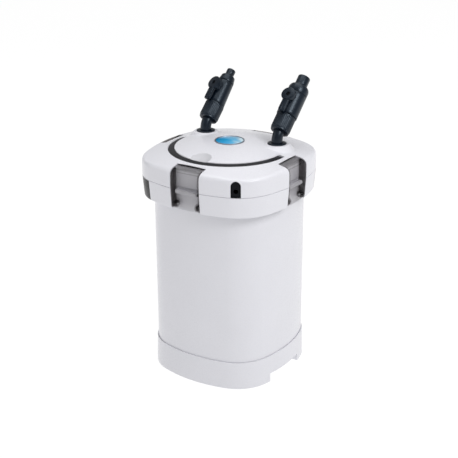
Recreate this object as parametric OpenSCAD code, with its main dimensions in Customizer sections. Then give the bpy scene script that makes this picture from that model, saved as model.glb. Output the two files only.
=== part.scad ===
// Canister filter for a large aquarium or garden pond: a square-round tub on a skirt, a screwed
// head with the pump inside, four swing clips, a folding bail handle, and two swivelling elbows
// that each carry a union nut, a ball tap and a hose tail.
// Origin: centre of the underside of the feet. +Z up, -Y front, +X right (inlet side).

/* [Head and collar] */
// Half width of the head and of the collar's top edge, over the middle of a side
head_half = 112; // [110:0.5:113]
// Roundness of the head's corners: a larger value gives squarer corners
head_k = 6.2; // [6:0.1:6.4]
// Height of the middle of the head's domed top above the floor
top_z = 335; // [334:0.5:336]
// Wall thickness of the head cover
cover_wall = 2.6; // [2.4:0.1:2.8]
// Height of the joint between the head and the collar
seam_z = 293.4; // [293.2:0.1:293.6]
// Height of the collar's bottom edge
collar_z = 264.2; // [263.8:0.1:264.4]
// How far the collar draws in from its top edge to its bottom edge
collar_draw = 2.3; // [2:0.1:2.5]

/* [Tub and base] */
// Half width of the tub, over the middle of a side
tub_half = 97.5; // [97:0.5:97.5]
// Roundness of the tub's corners: a larger value gives squarer corners
tub_k = 5.2; // [5.1:0.1:5.3]
// Wall thickness of the tub
tub_wall = 3; // [2.6:0.1:3.2]
// Height of the base skirt
skirt_h = 41.4; // [38:0.2:44]
// Width of the hand notch in the left and right sides of the skirt
notch_w = 74.5; // [60:0.5:80]
// How far the middle of the hand notch lies in front of the middle of the side
notch_front = 4.2; // [0:0.1:8]
// Height of the hand notch above the floor
notch_h = 13.3; // [11:0.1:13.5]

/* [Clips] */
// Width of one clip
clip_w = 45.8; // [44:0.2:46]
// Thickness of a clip's face
clip_t = 2.2; // [2:0.1:2.4]
// Height of the clip's hinge pins
hinge_z = 271; // [270.6:0.1:271.2]

/* [Handle] */
// Inner radius of the handle's half ring
bail_in = 77.8; // [77.6:0.1:78]
// Outer radius of the handle's half ring
bail_out = 86.2; // [86:0.1:86.4]

/* [Pipes and taps] */
// Distance of each pipe from the middle plane
pipe_x = 60; // [58:0.5:60]
// Distance of the pipes behind the middle
pipe_y = 28.7; // [27:0.1:30]
// Radius of the elbow tube
elbow_r = 7.8; // [7.6:0.1:7.9]
// Tilt of the taps from upright
tap_tilt = 45; // [40:1:48]
// Turn of the taps towards +X, seen from above
tap_yaw = 2.2; // [0:0.1:4]
// Radius of the inlet tap's body at its lower end
inlet_r = 15; // [14.6:0.1:15.1]
// Radius of the outlet tap's body at its lower end
outlet_r = 13.6; // [13.2:0.1:13.8]
// Outer radius of the inlet hose tail, for a hose of 16 mm bore
inlet_tail_r = 9; // [8.6:0.1:9.2]
// Outer radius of the outlet hose tail, for a hose of 12 mm bore
outlet_tail_r = 6.4; // [6:0.1:6.6]

/* [Media] */
// Height of one media basket
basket_h = 76; // [74:0.5:76]

/* [Hidden] */

// Colours
white = [0.86, 0.86, 0.88];
black = [0.10, 0.11, 0.13];
smoke = [0.42, 0.41, 0.40, 0.8];
steel = [0.75, 0.76, 0.78];

// Heights
foot_h = 3;               // feet, the lowest 0.4 mm of them below the skirt
skirt_z = 0.4;            // underside of the skirt
tub_z = 17;               // underside of the tub
rim_z = 292.8;            // top of the tub's rim
cover_z = seam_z + 0.2;   // underside of the head cover
collar_top = seam_z - 0.2;
plug_z = 286;             // underside of the head base's plug
volute_z = 266;           // underside of the pump chamber
basket_z = 24;            // underside of the lowest basket

// Clip pocket
pocket_w = clip_w + 1;    // width of the pocket round a clip
pocket_y = -99.8;         // the pocket's back wall
block_w = pocket_w + 4.8; // the walls that frame a pocket
lip_y = -91.2;            // inner edge of the clip's lip
hinge_y = -105.2;         // the hinge pins
catch_y = -105.6;         // the catch bar behind the clip's face
catch_z = 289;
lip_gap = 0.5;            // clip to head
clip_z = 265.6;           // lower edge of the clips

// Dome
flat_r = 21;
bowl_r = 75;
bowl_k = 705;
slope = 0.213;            // fall of the outer slope per millimetre

// Handle
bail_z = 322.1;           // height of the handle's pivot pins
bail_end = 3.3;           // radius of the handle's rounded ends
groove_in = bail_in - 0.4;
groove_out = bail_out + 0.4;
groove_z = 318;

// Pipes
bend_z = 343.6;           // where the elbow's two centre lines meet
bend_r = 16;              // radius of the elbow's bend
bend_t = bend_r * tan(tap_tilt / 2);
socket_r = 10.5;          // bore of the head base's two sockets
socket_wall = 2.5;
spigot_r = 10;            // the elbow's foot inside the socket
pad_z = 333.4;            // top of the raised pad round each pipe
tap_w = 58;               // tap's turning axis, measured along the pipe from the bend
nut_w = [7.4, 32.4];      // ends of the union nut
nut_r = 14.1;
body_from = 32.8;         // lower end of the tap's body
tail_from = 84;           // where the bare hose tail starts
lever_h = 21;             // top of the lever above the pipe's centre line
hub_r = 10.2;             // radius of the lever's hub
ball_r = 8.6;

// Pump
well_r = 13.4;            // bore of the rotor well
magnet_r = 12.6;
shaft_r = 2;
chamber_r = 28;           // bore of the pump chamber
post_turns = [90, 210, 330]; // directions of the chamber's three screw posts

// An outline of eight arcs: four wide sides and four corners that meet them smoothly. The arc
// centres lie on a 7-24-25 triangle, so radii and places stay short numbers. A profile is a list
// of [offset from the outline, z], from the bottom up.
turn = atan2(7, 24);

module sector(cx, cy, from, sweep, r, profile) {
    rim = [for (p = profile) [r + p[0], p[1]]];
    low = [0, profile[0][1]];
    high = [0, profile[len(profile) - 1][1]];
    translate([cx, cy, 0])
        rotate([0, 0, from])
            rotate_extrude(angle = sweep, $fn = 120)
                polygon(concat([low], rim, [high]));
}

// Each arc is two sweeps that start on the shared edges and overlap in the middle
module bulged(half, k, profile) {
    for (i = [0:3]) rotate([0, 0, 90 * i]) {
        sector(-17 * k, 0, turn, -20, half + 17 * k, profile);
        sector(-17 * k, 0, -turn, 20, half + 17 * k, profile);
        sector(7 * k, 7 * k, turn, 40, half - 8 * k, profile);
        sector(7 * k, 7 * k, 90 - turn, -40, half - 8 * k, profile);
    }
}

module head_form(profile) { bulged(head_half, head_k, profile); }
module tub_form(profile) { bulged(tub_half, tub_k, profile); }

function snap(x) = round(x * 100) / 100;
// Height of the domed top at distance q from the middle, lowered by d: flat under the badge,
// then a bowl as far as the handle, then a straight slope to the edge
function bowl_z(q) = top_z - max(0, q * q - flat_r * flat_r) / bowl_k;
function dome_z(q, d = 0) = snap((q < bowl_r ? bowl_z(q) : bowl_z(bowl_r) - (q - bowl_r) * slope) - d);

module dome(d) {
    rings = [160, bowl_r, 61, 48, 35, flat_r, 0];
    rotate_extrude($fn = 120)
        polygon(concat([[0, 250], [160, 250]], [for (q = rings) [q, dome_z(q, d)]]));
}

// The head's upper edge, rolled over from wall to dome
edge_r = 9;
edge_z = 312;
roll = concat(
    [for (a = [0, 20, 40, 60]) [snap(edge_r * cos(a) - edge_r), snap(edge_z + edge_r * sin(a))]],
    [[-14.5, edge_z + 17.8], [-14.5, 340]]
);

// The outside of collar and head over the middle of the front, drawn in by d, from height z up
module front_form(d, z) {
    low = snap(-collar_draw * (seam_z - z) / (seam_z - collar_z)) - d;
    profile = concat([[low, z], [-d, seam_z]], [for (p = roll) [p[0] - d, p[1] - 0.6 * d]]);
    intersection() {
        sector(0, 17 * head_k, -102, 24, head_half + 17 * head_k, profile);
        dome(d);
    }
}

module each_side() { for (i = [0:3]) rotate([0, 0, 90 * i]) children(); }

// A box by its two corners
module span(lo, hi) { translate(lo) cube(hi - lo); }

// A rod along X between two places, at y and z
module rod_x(r, x0, x1, y, z) {
    translate([x0, y, z]) rotate([0, 90, 0]) cylinder(r = r, h = x1 - x0, $fn = 48);
}

// The same shape at +x and -x
module both_x() {
    children();
    mirror([1, 0, 0]) children();
}

// ---- Base and tub

// Ribs that line both ends of each hand notch
rib_t = 2.4;
module notch_ribs() {
    for (y = [-notch_w / 2 - rib_t, notch_w / 2]) translate([0, y - notch_front, 0])
        both_x() span([82, 0, 0], [110, rib_t, 30]);
}

module base_skirt() {
    color(white) difference() {
        union() {
            difference() {
                tub_form([[2.8, skirt_z], [1.7, skirt_h]]);
                tub_form([[0.3, tub_z], [0.3, 60]]);
                tub_form([[0.2, -1], [0.2, tub_z - 3]]);
            }
            for (x = [-64, 64]) for (y = [-64, 64])
                translate([x, y, skirt_z + 0.6]) cylinder(r = 11.5, h = tub_z - skirt_z - 2, $fn = 60);
            intersection() {
                tub_form([[1, skirt_z + 0.6], [1, tub_z - 2]]);
                notch_ribs();
            }
        }
        translate([0, -notch_front, 0]) span([-120, -notch_w / 2, -1], [120, notch_w / 2, notch_h]);
        for (x = [-64, 64]) for (y = [-64, 64])
            translate([x, y, -1]) cylinder(r = 9.1, h = 1 + foot_h, $fn = 60);
    }
}

module rubber_feet() {
    color(black) for (x = [-64, 64]) for (y = [-64, 64]) translate([x, y, 0]) difference() {
        cylinder(r = 9, h = foot_h, $fn = 60);
        translate([0, 0, -1]) cylinder(r = 3, h = 2.2, $fn = 40);
    }
}

module canister_tub() {
    color(white) difference() {
        union() {
            tub_form([[0, tub_z], [0, rim_z]]);
            difference() {
                tub_form([[8, rim_z - 5.2], [8, rim_z]]);
                each_side() span([-block_w / 2 - 0.3, -130, 280], [block_w / 2 + 0.3, -80, 300]);
            }
        }
        tub_form([[-tub_wall, tub_z + 3], [-tub_wall, 300]]);
    }
}

module pocket(z0, z1) { each_side() span([-pocket_w / 2, -130, z0], [pocket_w / 2, pocket_y, z1]); }

module grip(r_gap, z_gap) {
    rc = head_half - 8 * head_k;
    low = snap(collar_draw * 0.986);
    turn_half = 23 + r_gap * 2;
    translate([7 * head_k, 7 * head_k, 0]) rotate([0, 0, 45 - turn_half])
        rotate_extrude(angle = 2 * turn_half, $fn = 120) polygon([
            [rc - low - 2.5 - r_gap, 264.6 - z_gap], [rc - low + 10 * r_gap, 264.6 - z_gap],
            [rc + 10 * r_gap, 292.6 + z_gap], [rc - 2.5 - r_gap, 292.6 + z_gap]
        ]);
}

module collar_ring() {
    color(white) {
        difference() {
            head_form([[-collar_draw, collar_z], [0, collar_top]]);
            tub_form([[0.3, 250], [0.3, 300]]);
            difference() {
                head_form([[-collar_draw - 3, 250], [-3.9, 284]]);
                tub_form([[2.3, 240], [2.3, 290]]);
                each_side() span([-block_w / 2, -130, 240], [block_w / 2, -80, 290]);
                for (a = [45, 225]) rotate([0, 0, a]) span([80, -34, 240], [130, 34, 290]);
            }
            difference() {
                tub_form([[8.4, rim_z - 5.5], [8.4, 300]]);
                each_side() span([-block_w / 2, -130, 280], [block_w / 2, -80, 301]);
            }
            pocket(250, 300);
            for (a = [0, 180]) rotate([0, 0, a]) grip(0.15, 0.15);
            each_side() both_x() rod_x(1.52, pocket_w / 2 - 1, pocket_w / 2 + 2.2, hinge_y, hinge_z);
        }
        each_side() {
            rod_x(2.9, -17, 17, catch_y, catch_z);
            both_x() span([16, catch_y - 1.4, catch_z - 2.4], [18, pocket_y + 0.5, catch_z + 2.4]);
        }
    }
}

module grip_front_left() { color(smoke) rotate([0, 0, 180]) grip(0, 0); }
module grip_rear_right() { color(smoke) grip(0, 0); }

// ---- Clips: a curved face with a lip over the head, two cheeks and two hinge knuckles

module clip() {
    half = clip_w / 2;
    color(smoke) difference() {
        union() {
            difference() {
                intersection() {
                    front_form(0, clip_z);
                    span([-half, -130, 260], [half, lip_y, 345]);
                }
                front_form(clip_t, 260);
            }
            intersection() {
                front_form(0, clip_z);
                both_x() {
                    span([half - 2.1, -130, hinge_z], [half, pocket_y - 0.5, 345]);
                    span([half - 2.1, -130, clip_z], [half, hinge_y, hinge_z + 1]);
                    rod_x(4.9, half - 2.1, half, hinge_y, hinge_z);
                }
            }
            both_x() rod_x(5, 15, half - 1, hinge_y, hinge_z);
            both_x() rod_x(1.3, 19.4, half - 1, -107, 291.5);
        }
        both_x() rod_x(1.56, 10, half + 1, hinge_y, hinge_z);
    }
}

module clip_front() { clip(); }
module clip_right() { rotate([0, 0, 90]) clip(); }
module clip_rear() { rotate([0, 0, 180]) clip(); }
module clip_left() { rotate([0, 0, 270]) clip(); }

module clip_hinge_pins() {
    color(steel) each_side() both_x() rod_x(1.5, 14.6, pocket_w / 2 + 2, hinge_y, hinge_z);
}

// ---- Head

arch_w = 13.5;
arch_h = 22.6;
arch_turn = -61.3;
cord_lift = 8.6;
module arch(grow, depth) {
    rotate([0, 0, arch_turn]) translate([depth, 0, 0]) rotate([90, 0, 90]) linear_extrude(30) {
        translate([-arch_w / 2 - grow, 0]) square([arch_w + 2 * grow, arch_h - arch_w / 2]);
        translate([0, arch_h - arch_w / 2]) circle(r = arch_w / 2 + grow, $fn = 60);
    }
}

// A rod along the cord's way, between two distances out from the corner's centre
module cord_way(r, from, to) { rotate([0, 0, arch_turn]) rod_x(r, from, to, 0, 0); }

module at_arch(lift) { translate([7 * head_k, -7 * head_k, cover_z + lift]) children(); }

// Finger scoop, its axis square to the dome, open to the handle's groove
module scoop(grow) {
    translate([-0.5, -71, dome_z(71)]) rotate([11.4, 0, 0]) rotate_extrude($fn = 80) polygon([
        [0, -3 - grow], [8 + grow, -2.4 - grow], [12 + grow, -1.2 - grow], [15.4 + grow, 1.2], [0, 1.2]
    ]);
}

module pipe_pads() {
    both_x() translate([pipe_x, pipe_y, 318]) {
        cylinder(r = 17, h = pad_z - 318, $fn = 80);
        translate([0, 0, 4]) cylinder(r1 = 26, r2 = 17.4, h = pad_z - 322.4, $fn = 80);
    }
}

module head_cover() {
    color(white) difference() {
        union() {
            difference() {
                union() {
                    intersection() {
                        head_form(concat([[0, cover_z]], roll));
                        dome(0);
                    }
                    intersection() {
                        head_form([[-8, 300], [-8, 345]]);
                        pipe_pads();
                    }
                }
                intersection() {
                    head_form(concat([[-cover_wall, 280]],
                        [for (p = roll) [snap(p[0] - cover_wall), snap(p[1] - 1.6)]]));
                    dome(cover_wall);
                }
            }
            intersection() {
                head_form(concat([[-1, cover_z]], [for (p = roll) [p[0] - 1, p[1] - 0.6]]));
                dome(1);
                union() {
                    each_side() span([-block_w / 2, -130, 280], [block_w / 2, lip_y + 2.8, 345]);
                    difference() {
                        translate([0, 0, groove_z - 2.5]) cylinder(r = groove_out + 2.4, h = 30, $fn = 120);
                        translate([0, 0, 300]) cylinder(r = groove_in - 2.4, h = 60, $fn = 120);
                        span([-120, 6.8, 290], [120, 120, 350]);
                    }
                    scoop(2.4);
                    for (x = [-66, 66]) for (y = [-66, 66])
                        translate([x, y, 296.4]) cylinder(r = 5, h = 30, $fn = 48);
                    at_arch(0) arch(2.2, 44);
                }
            }
        }
        pocket(280, 345);
        each_side() difference() {
            span([-pocket_w / 2, -130, 290], [pocket_w / 2, lip_y + 0.3, 345]);
            front_form(clip_t + lip_gap, 280);
        }
        difference() {
            translate([0, 0, groove_z]) cylinder(r = groove_out, h = 30, $fn = 120);
            translate([0, 0, 300]) cylinder(r = groove_in, h = 60, $fn = 120);
            span([-120, 4.4, 290], [120, 120, 350]);
        }
        both_x() rod_x(1.52, groove_in - 1.9, groove_out + 1.9, 0, bail_z);
        scoop(0);
        for (x = [-pipe_x, pipe_x]) translate([x, pipe_y, 300]) cylinder(r = elbow_r + 0.4, h = 60, $fn = 60);
        for (x = [-66, 66]) for (y = [-66, 66])
            translate([x, y, 290]) cylinder(r = 2.05, h = 22, $fn = 40);
        at_arch(-5) arch(0.1, 46);
        at_arch(0) arch(0.1, 46);
        at_arch(cord_lift) cord_way(5.1, 40, 50);
    }
}

module socket(x, z0) {
    translate([x, pipe_y, z0]) cylinder(r = socket_r + socket_wall, h = 324.4 - z0, $fn = 60);
}

// Direction from the pump chamber to the outlet socket
duct_turn = atan2(pipe_y, -pipe_x);
duct_l = norm([pipe_x, pipe_y]);
module duct(r, from, to) {
    rotate([0, 0, duct_turn]) rod_x(r, from, to, 0, 276);
}

module head_base() {
    color([0.80, 0.80, 0.82]) difference() {
        union() {
            tub_form([[-3.5, plug_z], [-3.5, seam_z - 0.2]]);
            difference() {
                head_form([[-3, seam_z - 0.2], [-3, 296.2]]);
                each_side() span([-block_w / 2 - 0.4, -130, 280], [block_w / 2 + 0.4, lip_y + 3.2, 300]);
                at_arch(-5) arch(2.6, 43.6);
                at_arch(0) arch(2.6, 43.6);
            }
            translate([0, 0, 290]) cylinder(r = well_r + 2, h = 35, $fn = 80);
            translate([0, 0, volute_z]) cylinder(r = chamber_r + 2.5, h = 22, $fn = 100);
            socket(pipe_x, 262);
            socket(-pipe_x, volute_z - 2.5);
            duct(9, chamber_r - 2, duct_l);
        }
        difference() {
            tub_form([[0, 287.8], [0, 291.2]]);
            tub_form([[-5.4, 287], [-5.4, 292]]);
        }
        translate([0, 0, 280]) cylinder(r = well_r, h = 42.6, $fn = 80);
        translate([0, 0, volute_z - 1]) cylinder(r = chamber_r, h = 17, $fn = 100);
        translate([pipe_x, pipe_y, 260]) cylinder(r = socket_r, h = 70, $fn = 60);
        translate([-pipe_x, pipe_y, volute_z]) cylinder(r = socket_r, h = 70, $fn = 60);
        duct(6.5, chamber_r - 4, duct_l);
        for (x = [-66, 66]) for (y = [-66, 66]) translate([x, y, 280]) {
            cylinder(r = 2.2, h = 30, $fn = 40);
            cylinder(r = 3.9, h = 9.4, $fn = 40);
        }
        for (a = post_turns) rotate([0, 0, a]) translate([chamber_r + 5.4, 0, 280])
            cylinder(r = 1.25, h = 9, $fn = 32);
    }
}

module screw(head_r, head_h, r, l) {
    difference() {
        union() {
            cylinder(r = head_r, h = head_h, $fn = 40);
            cylinder(r = r, h = l, $fn = 40);
        }
        for (a = [0, 90]) rotate([0, 0, a]) translate([-head_r * 0.6, -0.5, -1]) cube([head_r * 1.2, 1, 2]);
    }
}

module head_screws() {
    color(steel) for (x = [-66, 66]) for (y = [-66, 66]) translate([x, y, 286.8]) screw(3.6, 2.5, 2, 22);
}

module main_seal() {
    color(black) difference() {
        tub_form([[-3.1, 288], [-3.1, 291]]);
        tub_form([[-5.3, 287], [-5.3, 292]]);
    }
}

module cord_gland() {
    color([0.07, 0.08, 0.10]) difference() {
        intersection() {
            union() {
                at_arch(0.1) arch(0, 47.5);
                at_arch(cord_lift) cord_way(5, 43, 54.5);
            }
            head_form([[-0.5, 280], [-0.5, 320]]);
        }
        at_arch(cord_lift) cord_way(3.3, 30, 70);
    }
}

module badge_bezel() {
    color(steel) translate([0, 0, top_z]) rotate_extrude($fn = 100) polygon([
        [19.3, 0], [21, 0], [21, 0.7], [20.5, 1.3], [19.8, 1.5], [19.3, 1.2]
    ]);
}

module badge_lens() {
    color([0.12, 0.55, 0.78]) translate([0, 0, top_z]) rotate_extrude($fn = 100) polygon([
        [0, 0], [19.2, 0], [19.2, 1], [17, 1.7], [13.5, 2.4], [9, 2.9], [4.5, 3.2], [0, 3.3]
    ]);
}

// ---- Handle

module handle() {
    color(black) difference() {
        intersection() {
            union() {
                difference() {
                    translate([0, 0, bail_z - bail_end]) cylinder(r = bail_out, h = 12, $fn = 120);
                    translate([0, 0, 300]) cylinder(r = bail_in, h = 60, $fn = 120);
                    span([-120, 0, 290], [120, 120, 350]);
                }
                both_x() rod_x(bail_end, bail_in + 0.02, bail_out - 0.1, 0, bail_z);
            }
            dome(0.6);
        }
        both_x() rod_x(1.56, bail_in - 2, bail_out + 2, 0, bail_z);
    }
}

module handle_pivot_pins() {
    color(steel) both_x() rod_x(1.5, groove_in - 1.7, groove_out + 1.7, 0, bail_z);
}

// ---- Elbows and taps. side is +1 for the inlet and -1 for the outlet.

module at_pipe(side) { translate([side * pipe_x, pipe_y, 0]) rotate([0, 0, -tap_yaw]) children(); }

// Along the pipe past the bend: z is the distance from the bend, -y the tap's side
module along(side) { at_pipe(side) translate([0, 0, bend_z]) rotate([-tap_tilt, 0, 0]) children(); }

// The lever's own frame: z is the turning axis, -y points to the nut. The outlet tap sits turned
// round the pipe by roll_out.
roll_out = 13;
module at_tap(side) {
    roll = side < 0 ? roll_out : 0;
    along(side) translate([0, 0, tap_w]) rotate([90, 0, -roll]) children();
}

module pipe_run(side, r) {
    at_pipe(side) translate([0, 0, bend_z - bend_t]) translate([0, bend_r, 0]) rotate([90, 0, -90])
        rotate_extrude(angle = tap_tilt, $fn = 72) translate([bend_r, 0]) circle(r = r, $fn = 60);
}

module flange(side) {
    color(black) translate([side * pipe_x, pipe_y, pad_z]) rotate_extrude($fn = 80) polygon([
        [elbow_r + 0.35, 0], [13.5, 0], [13.5, 0.6], [12.9, 1.2], [10.5, 1.6], [elbow_r + 0.35, 1.6]
    ]);
}

module elbow(side) {
    color(black) difference() {
        union() {
            at_pipe(side) translate([0, 0, 298]) cylinder(r = spigot_r, h = 24, $fn = 60);
            at_pipe(side) translate([0, 0, 300]) cylinder(r = elbow_r, h = bend_z - bend_t - 299, $fn = 60);
            pipe_run(side, elbow_r + 0.1);
            along(side) translate([0, 0, bend_t - 1]) cylinder(r = elbow_r, h = 14 - bend_t, $fn = 60);
            along(side) translate([0, 0, nut_w[0] + 2.6]) cylinder(r = 10.4, h = 3, $fn = 60);
        }
        at_pipe(side) translate([0, 0, 290]) cylinder(r = 5.7, h = bend_z - bend_t - 289, $fn = 48);
        pipe_run(side, 5.5);
        along(side) translate([0, 0, bend_t - 1]) cylinder(r = 5.7, h = 20, $fn = 48);
        for (z = [303.1, 311.1]) at_pipe(side) translate([0, 0, z]) difference() {
            cylinder(r = spigot_r + 2, h = 1.8, $fn = 60);
            cylinder(r = 9, h = 2, $fn = 60);
        }
    }
}

module elbow_seals(side) {
    color([0.05, 0.05, 0.05]) for (z = [304, 312]) at_pipe(side) translate([0, 0, z])
        rotate_extrude($fn = 72) translate([9.75, 0]) circle(r = 0.7, $fn = 24);
}

module union_nut(side) {
    ribs = 40;
    r = nut_r;
    h = nut_w[1] - nut_w[0];
    color(black) along(side) translate([0, 0, nut_w[0]]) difference() {
        rotate_extrude($fn = 80) polygon([
            [8.4, 0], [r - 1.6, 0], [r - 0.6, 0.8], [r - 0.6, 2.6], [r, 3.2], [r, h - 0.5], [r - 0.5, h],
            [10.9, h], [10.9, 2.4], [8.4, 2.4]
        ]);
        for (i = [0:ribs - 1]) rotate([0, 0, 360 / ribs * i]) translate([r + 0.35, 0, 4])
            cylinder(r = 0.75, h = h - 6, $fn = 16);
    }
}

// Upper end of the tap's body, and its radius there: the outlet's narrows upwards
function body_end(side) = side > 0 ? 68.4 : 70;
function body_top_r(side) = side > 0 ? inlet_r - 0.2 : outlet_r - 1.7;

module tap_body(side) {
    r = side > 0 ? inlet_r : outlet_r;
    color(black) difference() {
        union() {
            along(side) rotate_extrude($fn = 80) polygon([
                [0, 13.1], [10.4, 13.1], [10.4, body_from], [r - 0.4, body_from], [r, body_from + 0.5],
                [body_top_r(side), body_end(side)], [0, body_end(side)]
            ]);
            at_tap(side) cylinder(r = 8.2, h = lever_h - 5.7, $fn = 60);
        }
        along(side) cylinder(r = 5.4, h = 100, $fn = 48);
        along(side) translate([0, 0, tap_w]) sphere(r = ball_r + 0.4, $fn = 60);
        along(side) translate([0, 0, tap_w]) cylinder(r = ball_r + 0.4, h = 30, $fn = 60);
        at_tap(side) cylinder(r = 3.08, h = 30, $fn = 40);
    }
}

module tap_ball(side) {
    color(steel) difference() {
        union() {
            at_tap(side) sphere(r = ball_r, $fn = 60);
            at_tap(side) cylinder(r = 3, h = 17.4, $fn = 40);
        }
        along(side) translate([0, 0, tap_w - 20]) cylinder(r = 5.2, h = 40, $fn = 48);
        at_tap(side) translate([0, 0, 11]) cylinder(r = 1.05, h = 10, $fn = 24);
    }
}

module tap_lever(side) {
    color(black) at_tap(side) difference() {
        union() {
            translate([0, 0, lever_h - 5.1]) cylinder(r = hub_r, h = 5.1, $fn = 80);
            translate([0, 0, lever_h - 5.1]) linear_extrude(4.6) {
                translate([-5, -26.5]) square([10, 26.5]);
                translate([-4, -27.5]) square([8, 1]);
            }
        }
        translate([0, 0, 10]) cylinder(r = 3.02, h = 7.5, $fn = 40);
        translate([0, 0, 10]) cylinder(r = 1.3, h = 20, $fn = 32);
        translate([0, 0, lever_h - 2.6]) cylinder(r = 3, h = 5, $fn = 40);
    }
}

module lever_screw(side) {
    color(black) at_tap(side) translate([0, 0, lever_h - 1.1]) mirror([0, 0, 1]) screw(2.6, 1.4, 1, 8);
}

// The shoulder from the tap's body to the bare tail, as [radius, place along the pipe]
function shoulder(side, r) = side > 0
    ? [[r, 77], [r - 0.6, 78.6], [r - 1.1, 80.2], [r - 1.9, 81.2], [r - 3.2, 81.9]]
    : [[r - 0.4, 73.5], [r - 1.1, 76.5], [r - 1.5, 79.5], [r - 2.2, 80.9], [r - 3.4, 81.9]];

module hose_tail(side) {
    r = body_top_r(side);
    low = body_end(side) + 0.3;
    tail_r = side > 0 ? inlet_tail_r : outlet_tail_r;
    bore_r = side > 0 ? 6.4 : 4.4;
    tip = side > 0 ? 98 : 92.5;
    root = [[bore_r, low], [r - 0.4, low], [r, low + 0.4]];
    tail = [[tail_r + 0.6, 83], [tail_r, tail_from], [tail_r, tip - 1], [tail_r - 0.8, tip], [bore_r, tip]];
    color(black) along(side) rotate_extrude($fn = 80) polygon(concat(root, shoulder(side, r), tail));
}

module inlet_flange() { flange(1); }
module outlet_flange() { flange(-1); }
module inlet_elbow() { elbow(1); }
module outlet_elbow() { elbow(-1); }
module inlet_elbow_seals() { elbow_seals(1); }
module outlet_elbow_seals() { elbow_seals(-1); }
module inlet_union_nut() { union_nut(1); }
module outlet_union_nut() { union_nut(-1); }
module inlet_tap_body() { tap_body(1); }
module outlet_tap_body() { tap_body(-1); }
module inlet_tap_lever() { tap_lever(1); }
module outlet_tap_lever() { tap_lever(-1); }
module inlet_tap_ball() { tap_ball(1); }
module outlet_tap_ball() { tap_ball(-1); }
module inlet_lever_screw() { lever_screw(1); }
module outlet_lever_screw() { lever_screw(-1); }
module inlet_hose_tail() { hose_tail(1); }
module outlet_hose_tail() { hose_tail(-1); }

// ---- Pump

module stator_core() {
    color([0.45, 0.45, 0.47]) difference() {
        span([-27, -22, 302], [27, 62, 316]);
        translate([0, 0, 290]) cylinder(r = well_r + 2.4, h = 40, $fn = 80);
        span([-12, 10, 290], [12, 50, 330]);
        span([-2, -40, 290], [2, 0, 330]);
    }
}

module stator_coils() {
    color([0.62, 0.34, 0.14]) both_x() difference() {
        span([8, 20.5, 298], [31, 47.5, 320]);
        span([11.7, 10, 301.7], [27.3, 60, 316.3]);
    }
}

module rotor_magnet() {
    color([0.25, 0.25, 0.27]) translate([0, 0, 288.5]) difference() {
        cylinder(r = magnet_r, h = 29.5, $fn = 72);
        translate([0, 0, -1]) cylinder(r = shaft_r + 0.06, h = 40, $fn = 36);
    }
}

module impeller() {
    color([0.18, 0.30, 0.55]) difference() {
        union() {
            translate([0, 0, 269.5]) cylinder(r = 6, h = 19, $fn = 48);
            translate([0, 0, 280]) cylinder(r = 22, h = 1.6, $fn = 80);
            for (a = [0:60:300]) rotate([0, 0, a]) span([4, -0.8, 269.5], [22.5, 0.8, 280.5]);
        }
        translate([0, 0, 260]) cylinder(r = shaft_r + 0.06, h = 40, $fn = 36);
    }
}

module rotor_shaft() {
    color([0.93, 0.93, 0.90]) translate([0, 0, 263.4]) cylinder(r = shaft_r, h = 58.6, $fn = 36);
}

module shaft_bushes() {
    color(black) for (z = [263.2, 318.9]) translate([0, 0, z]) difference() {
        cylinder(r = z < 300 ? 4.4 : 6, h = 3.4, $fn = 48);
        translate([0, 0, -1]) cylinder(r = shaft_r + 0.02, h = 10, $fn = 36);
    }
}

module volute_cover() {
    color([0.80, 0.80, 0.82]) difference() {
        union() {
            difference() {
                translate([0, 0, 262.4]) cylinder(r = chamber_r + 2.5, h = 3.5, $fn = 100);
                translate([0, 0, 260]) cylinder(r = 12, h = 10, $fn = 60);
            }
            translate([0, 0, 262.4]) cylinder(r = 6.4, h = 3.5, $fn = 48);
            for (a = [0, 120, 240]) rotate([0, 0, a]) span([5, -1.2, 262.4], [13, 1.2, 265.4]);
            for (a = post_turns) rotate([0, 0, a]) translate([chamber_r + 5.4, 0, 262.4])
                cylinder(r = 4, h = 23.5, $fn = 40);
        }
        translate([0, 0, 263.1]) cylinder(r = 4.45, h = 10, $fn = 48);
        translate([0, 0, 266]) cylinder(r = chamber_r + 2.6, h = 40, $fn = 100);
        for (a = post_turns) rotate([0, 0, a]) translate([chamber_r + 5.4, 0, 250])
            cylinder(r = 1.4, h = 50, $fn = 32);
    }
}

module volute_screws() {
    color(steel) for (a = post_turns) rotate([0, 0, a]) translate([chamber_r + 5.4, 0, 260.9])
        screw(2.6, 1.5, 1.2, 27);
}

// ---- Intake, baskets and media

module intake_pipe() {
    color(black) translate([pipe_x, pipe_y, 0]) difference() {
        translate([0, 0, 27]) cylinder(r = 10.2, h = 247, $fn = 60);
        translate([0, 0, 20]) cylinder(r = 8.2, h = 260, $fn = 60);
        for (a = [0, 90]) rotate([0, 0, a]) span([-20, -3.5, 20], [20, 3.5, 36]);
    }
}

module sieve_slots(z0, z1) {
    for (x = [-72:12:72]) for (s = [-1, 1])
        if (!(s > 0 && x > 40 && x < 80)) translate([x - 3, s > 0 ? 6 : -66, z0]) cube([6, 60, z1 - z0]);
}

module pipe_way(r, z0, z1) { translate([pipe_x, pipe_y, z0]) cylinder(r = r, h = z1 - z0, $fn = 60); }

module basket(i) {
    z = basket_z + i * basket_h;
    color([0.16, 0.17, 0.19]) difference() {
        union() {
            difference() {
                tub_form([[-5, z], [-5, z + basket_h - 0.4]]);
                tub_form([[-7, z + 2], [-7, z + 100]]);
            }
            pipe_way(14, z, z + basket_h - 0.4);
        }
        pipe_way(12, z - 1, z + 100);
        sieve_slots(z - 1, z + 3);
    }
}

module basket_lower() { basket(0); }
module basket_middle() { basket(1); }
module basket_upper() { basket(2); }

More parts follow.
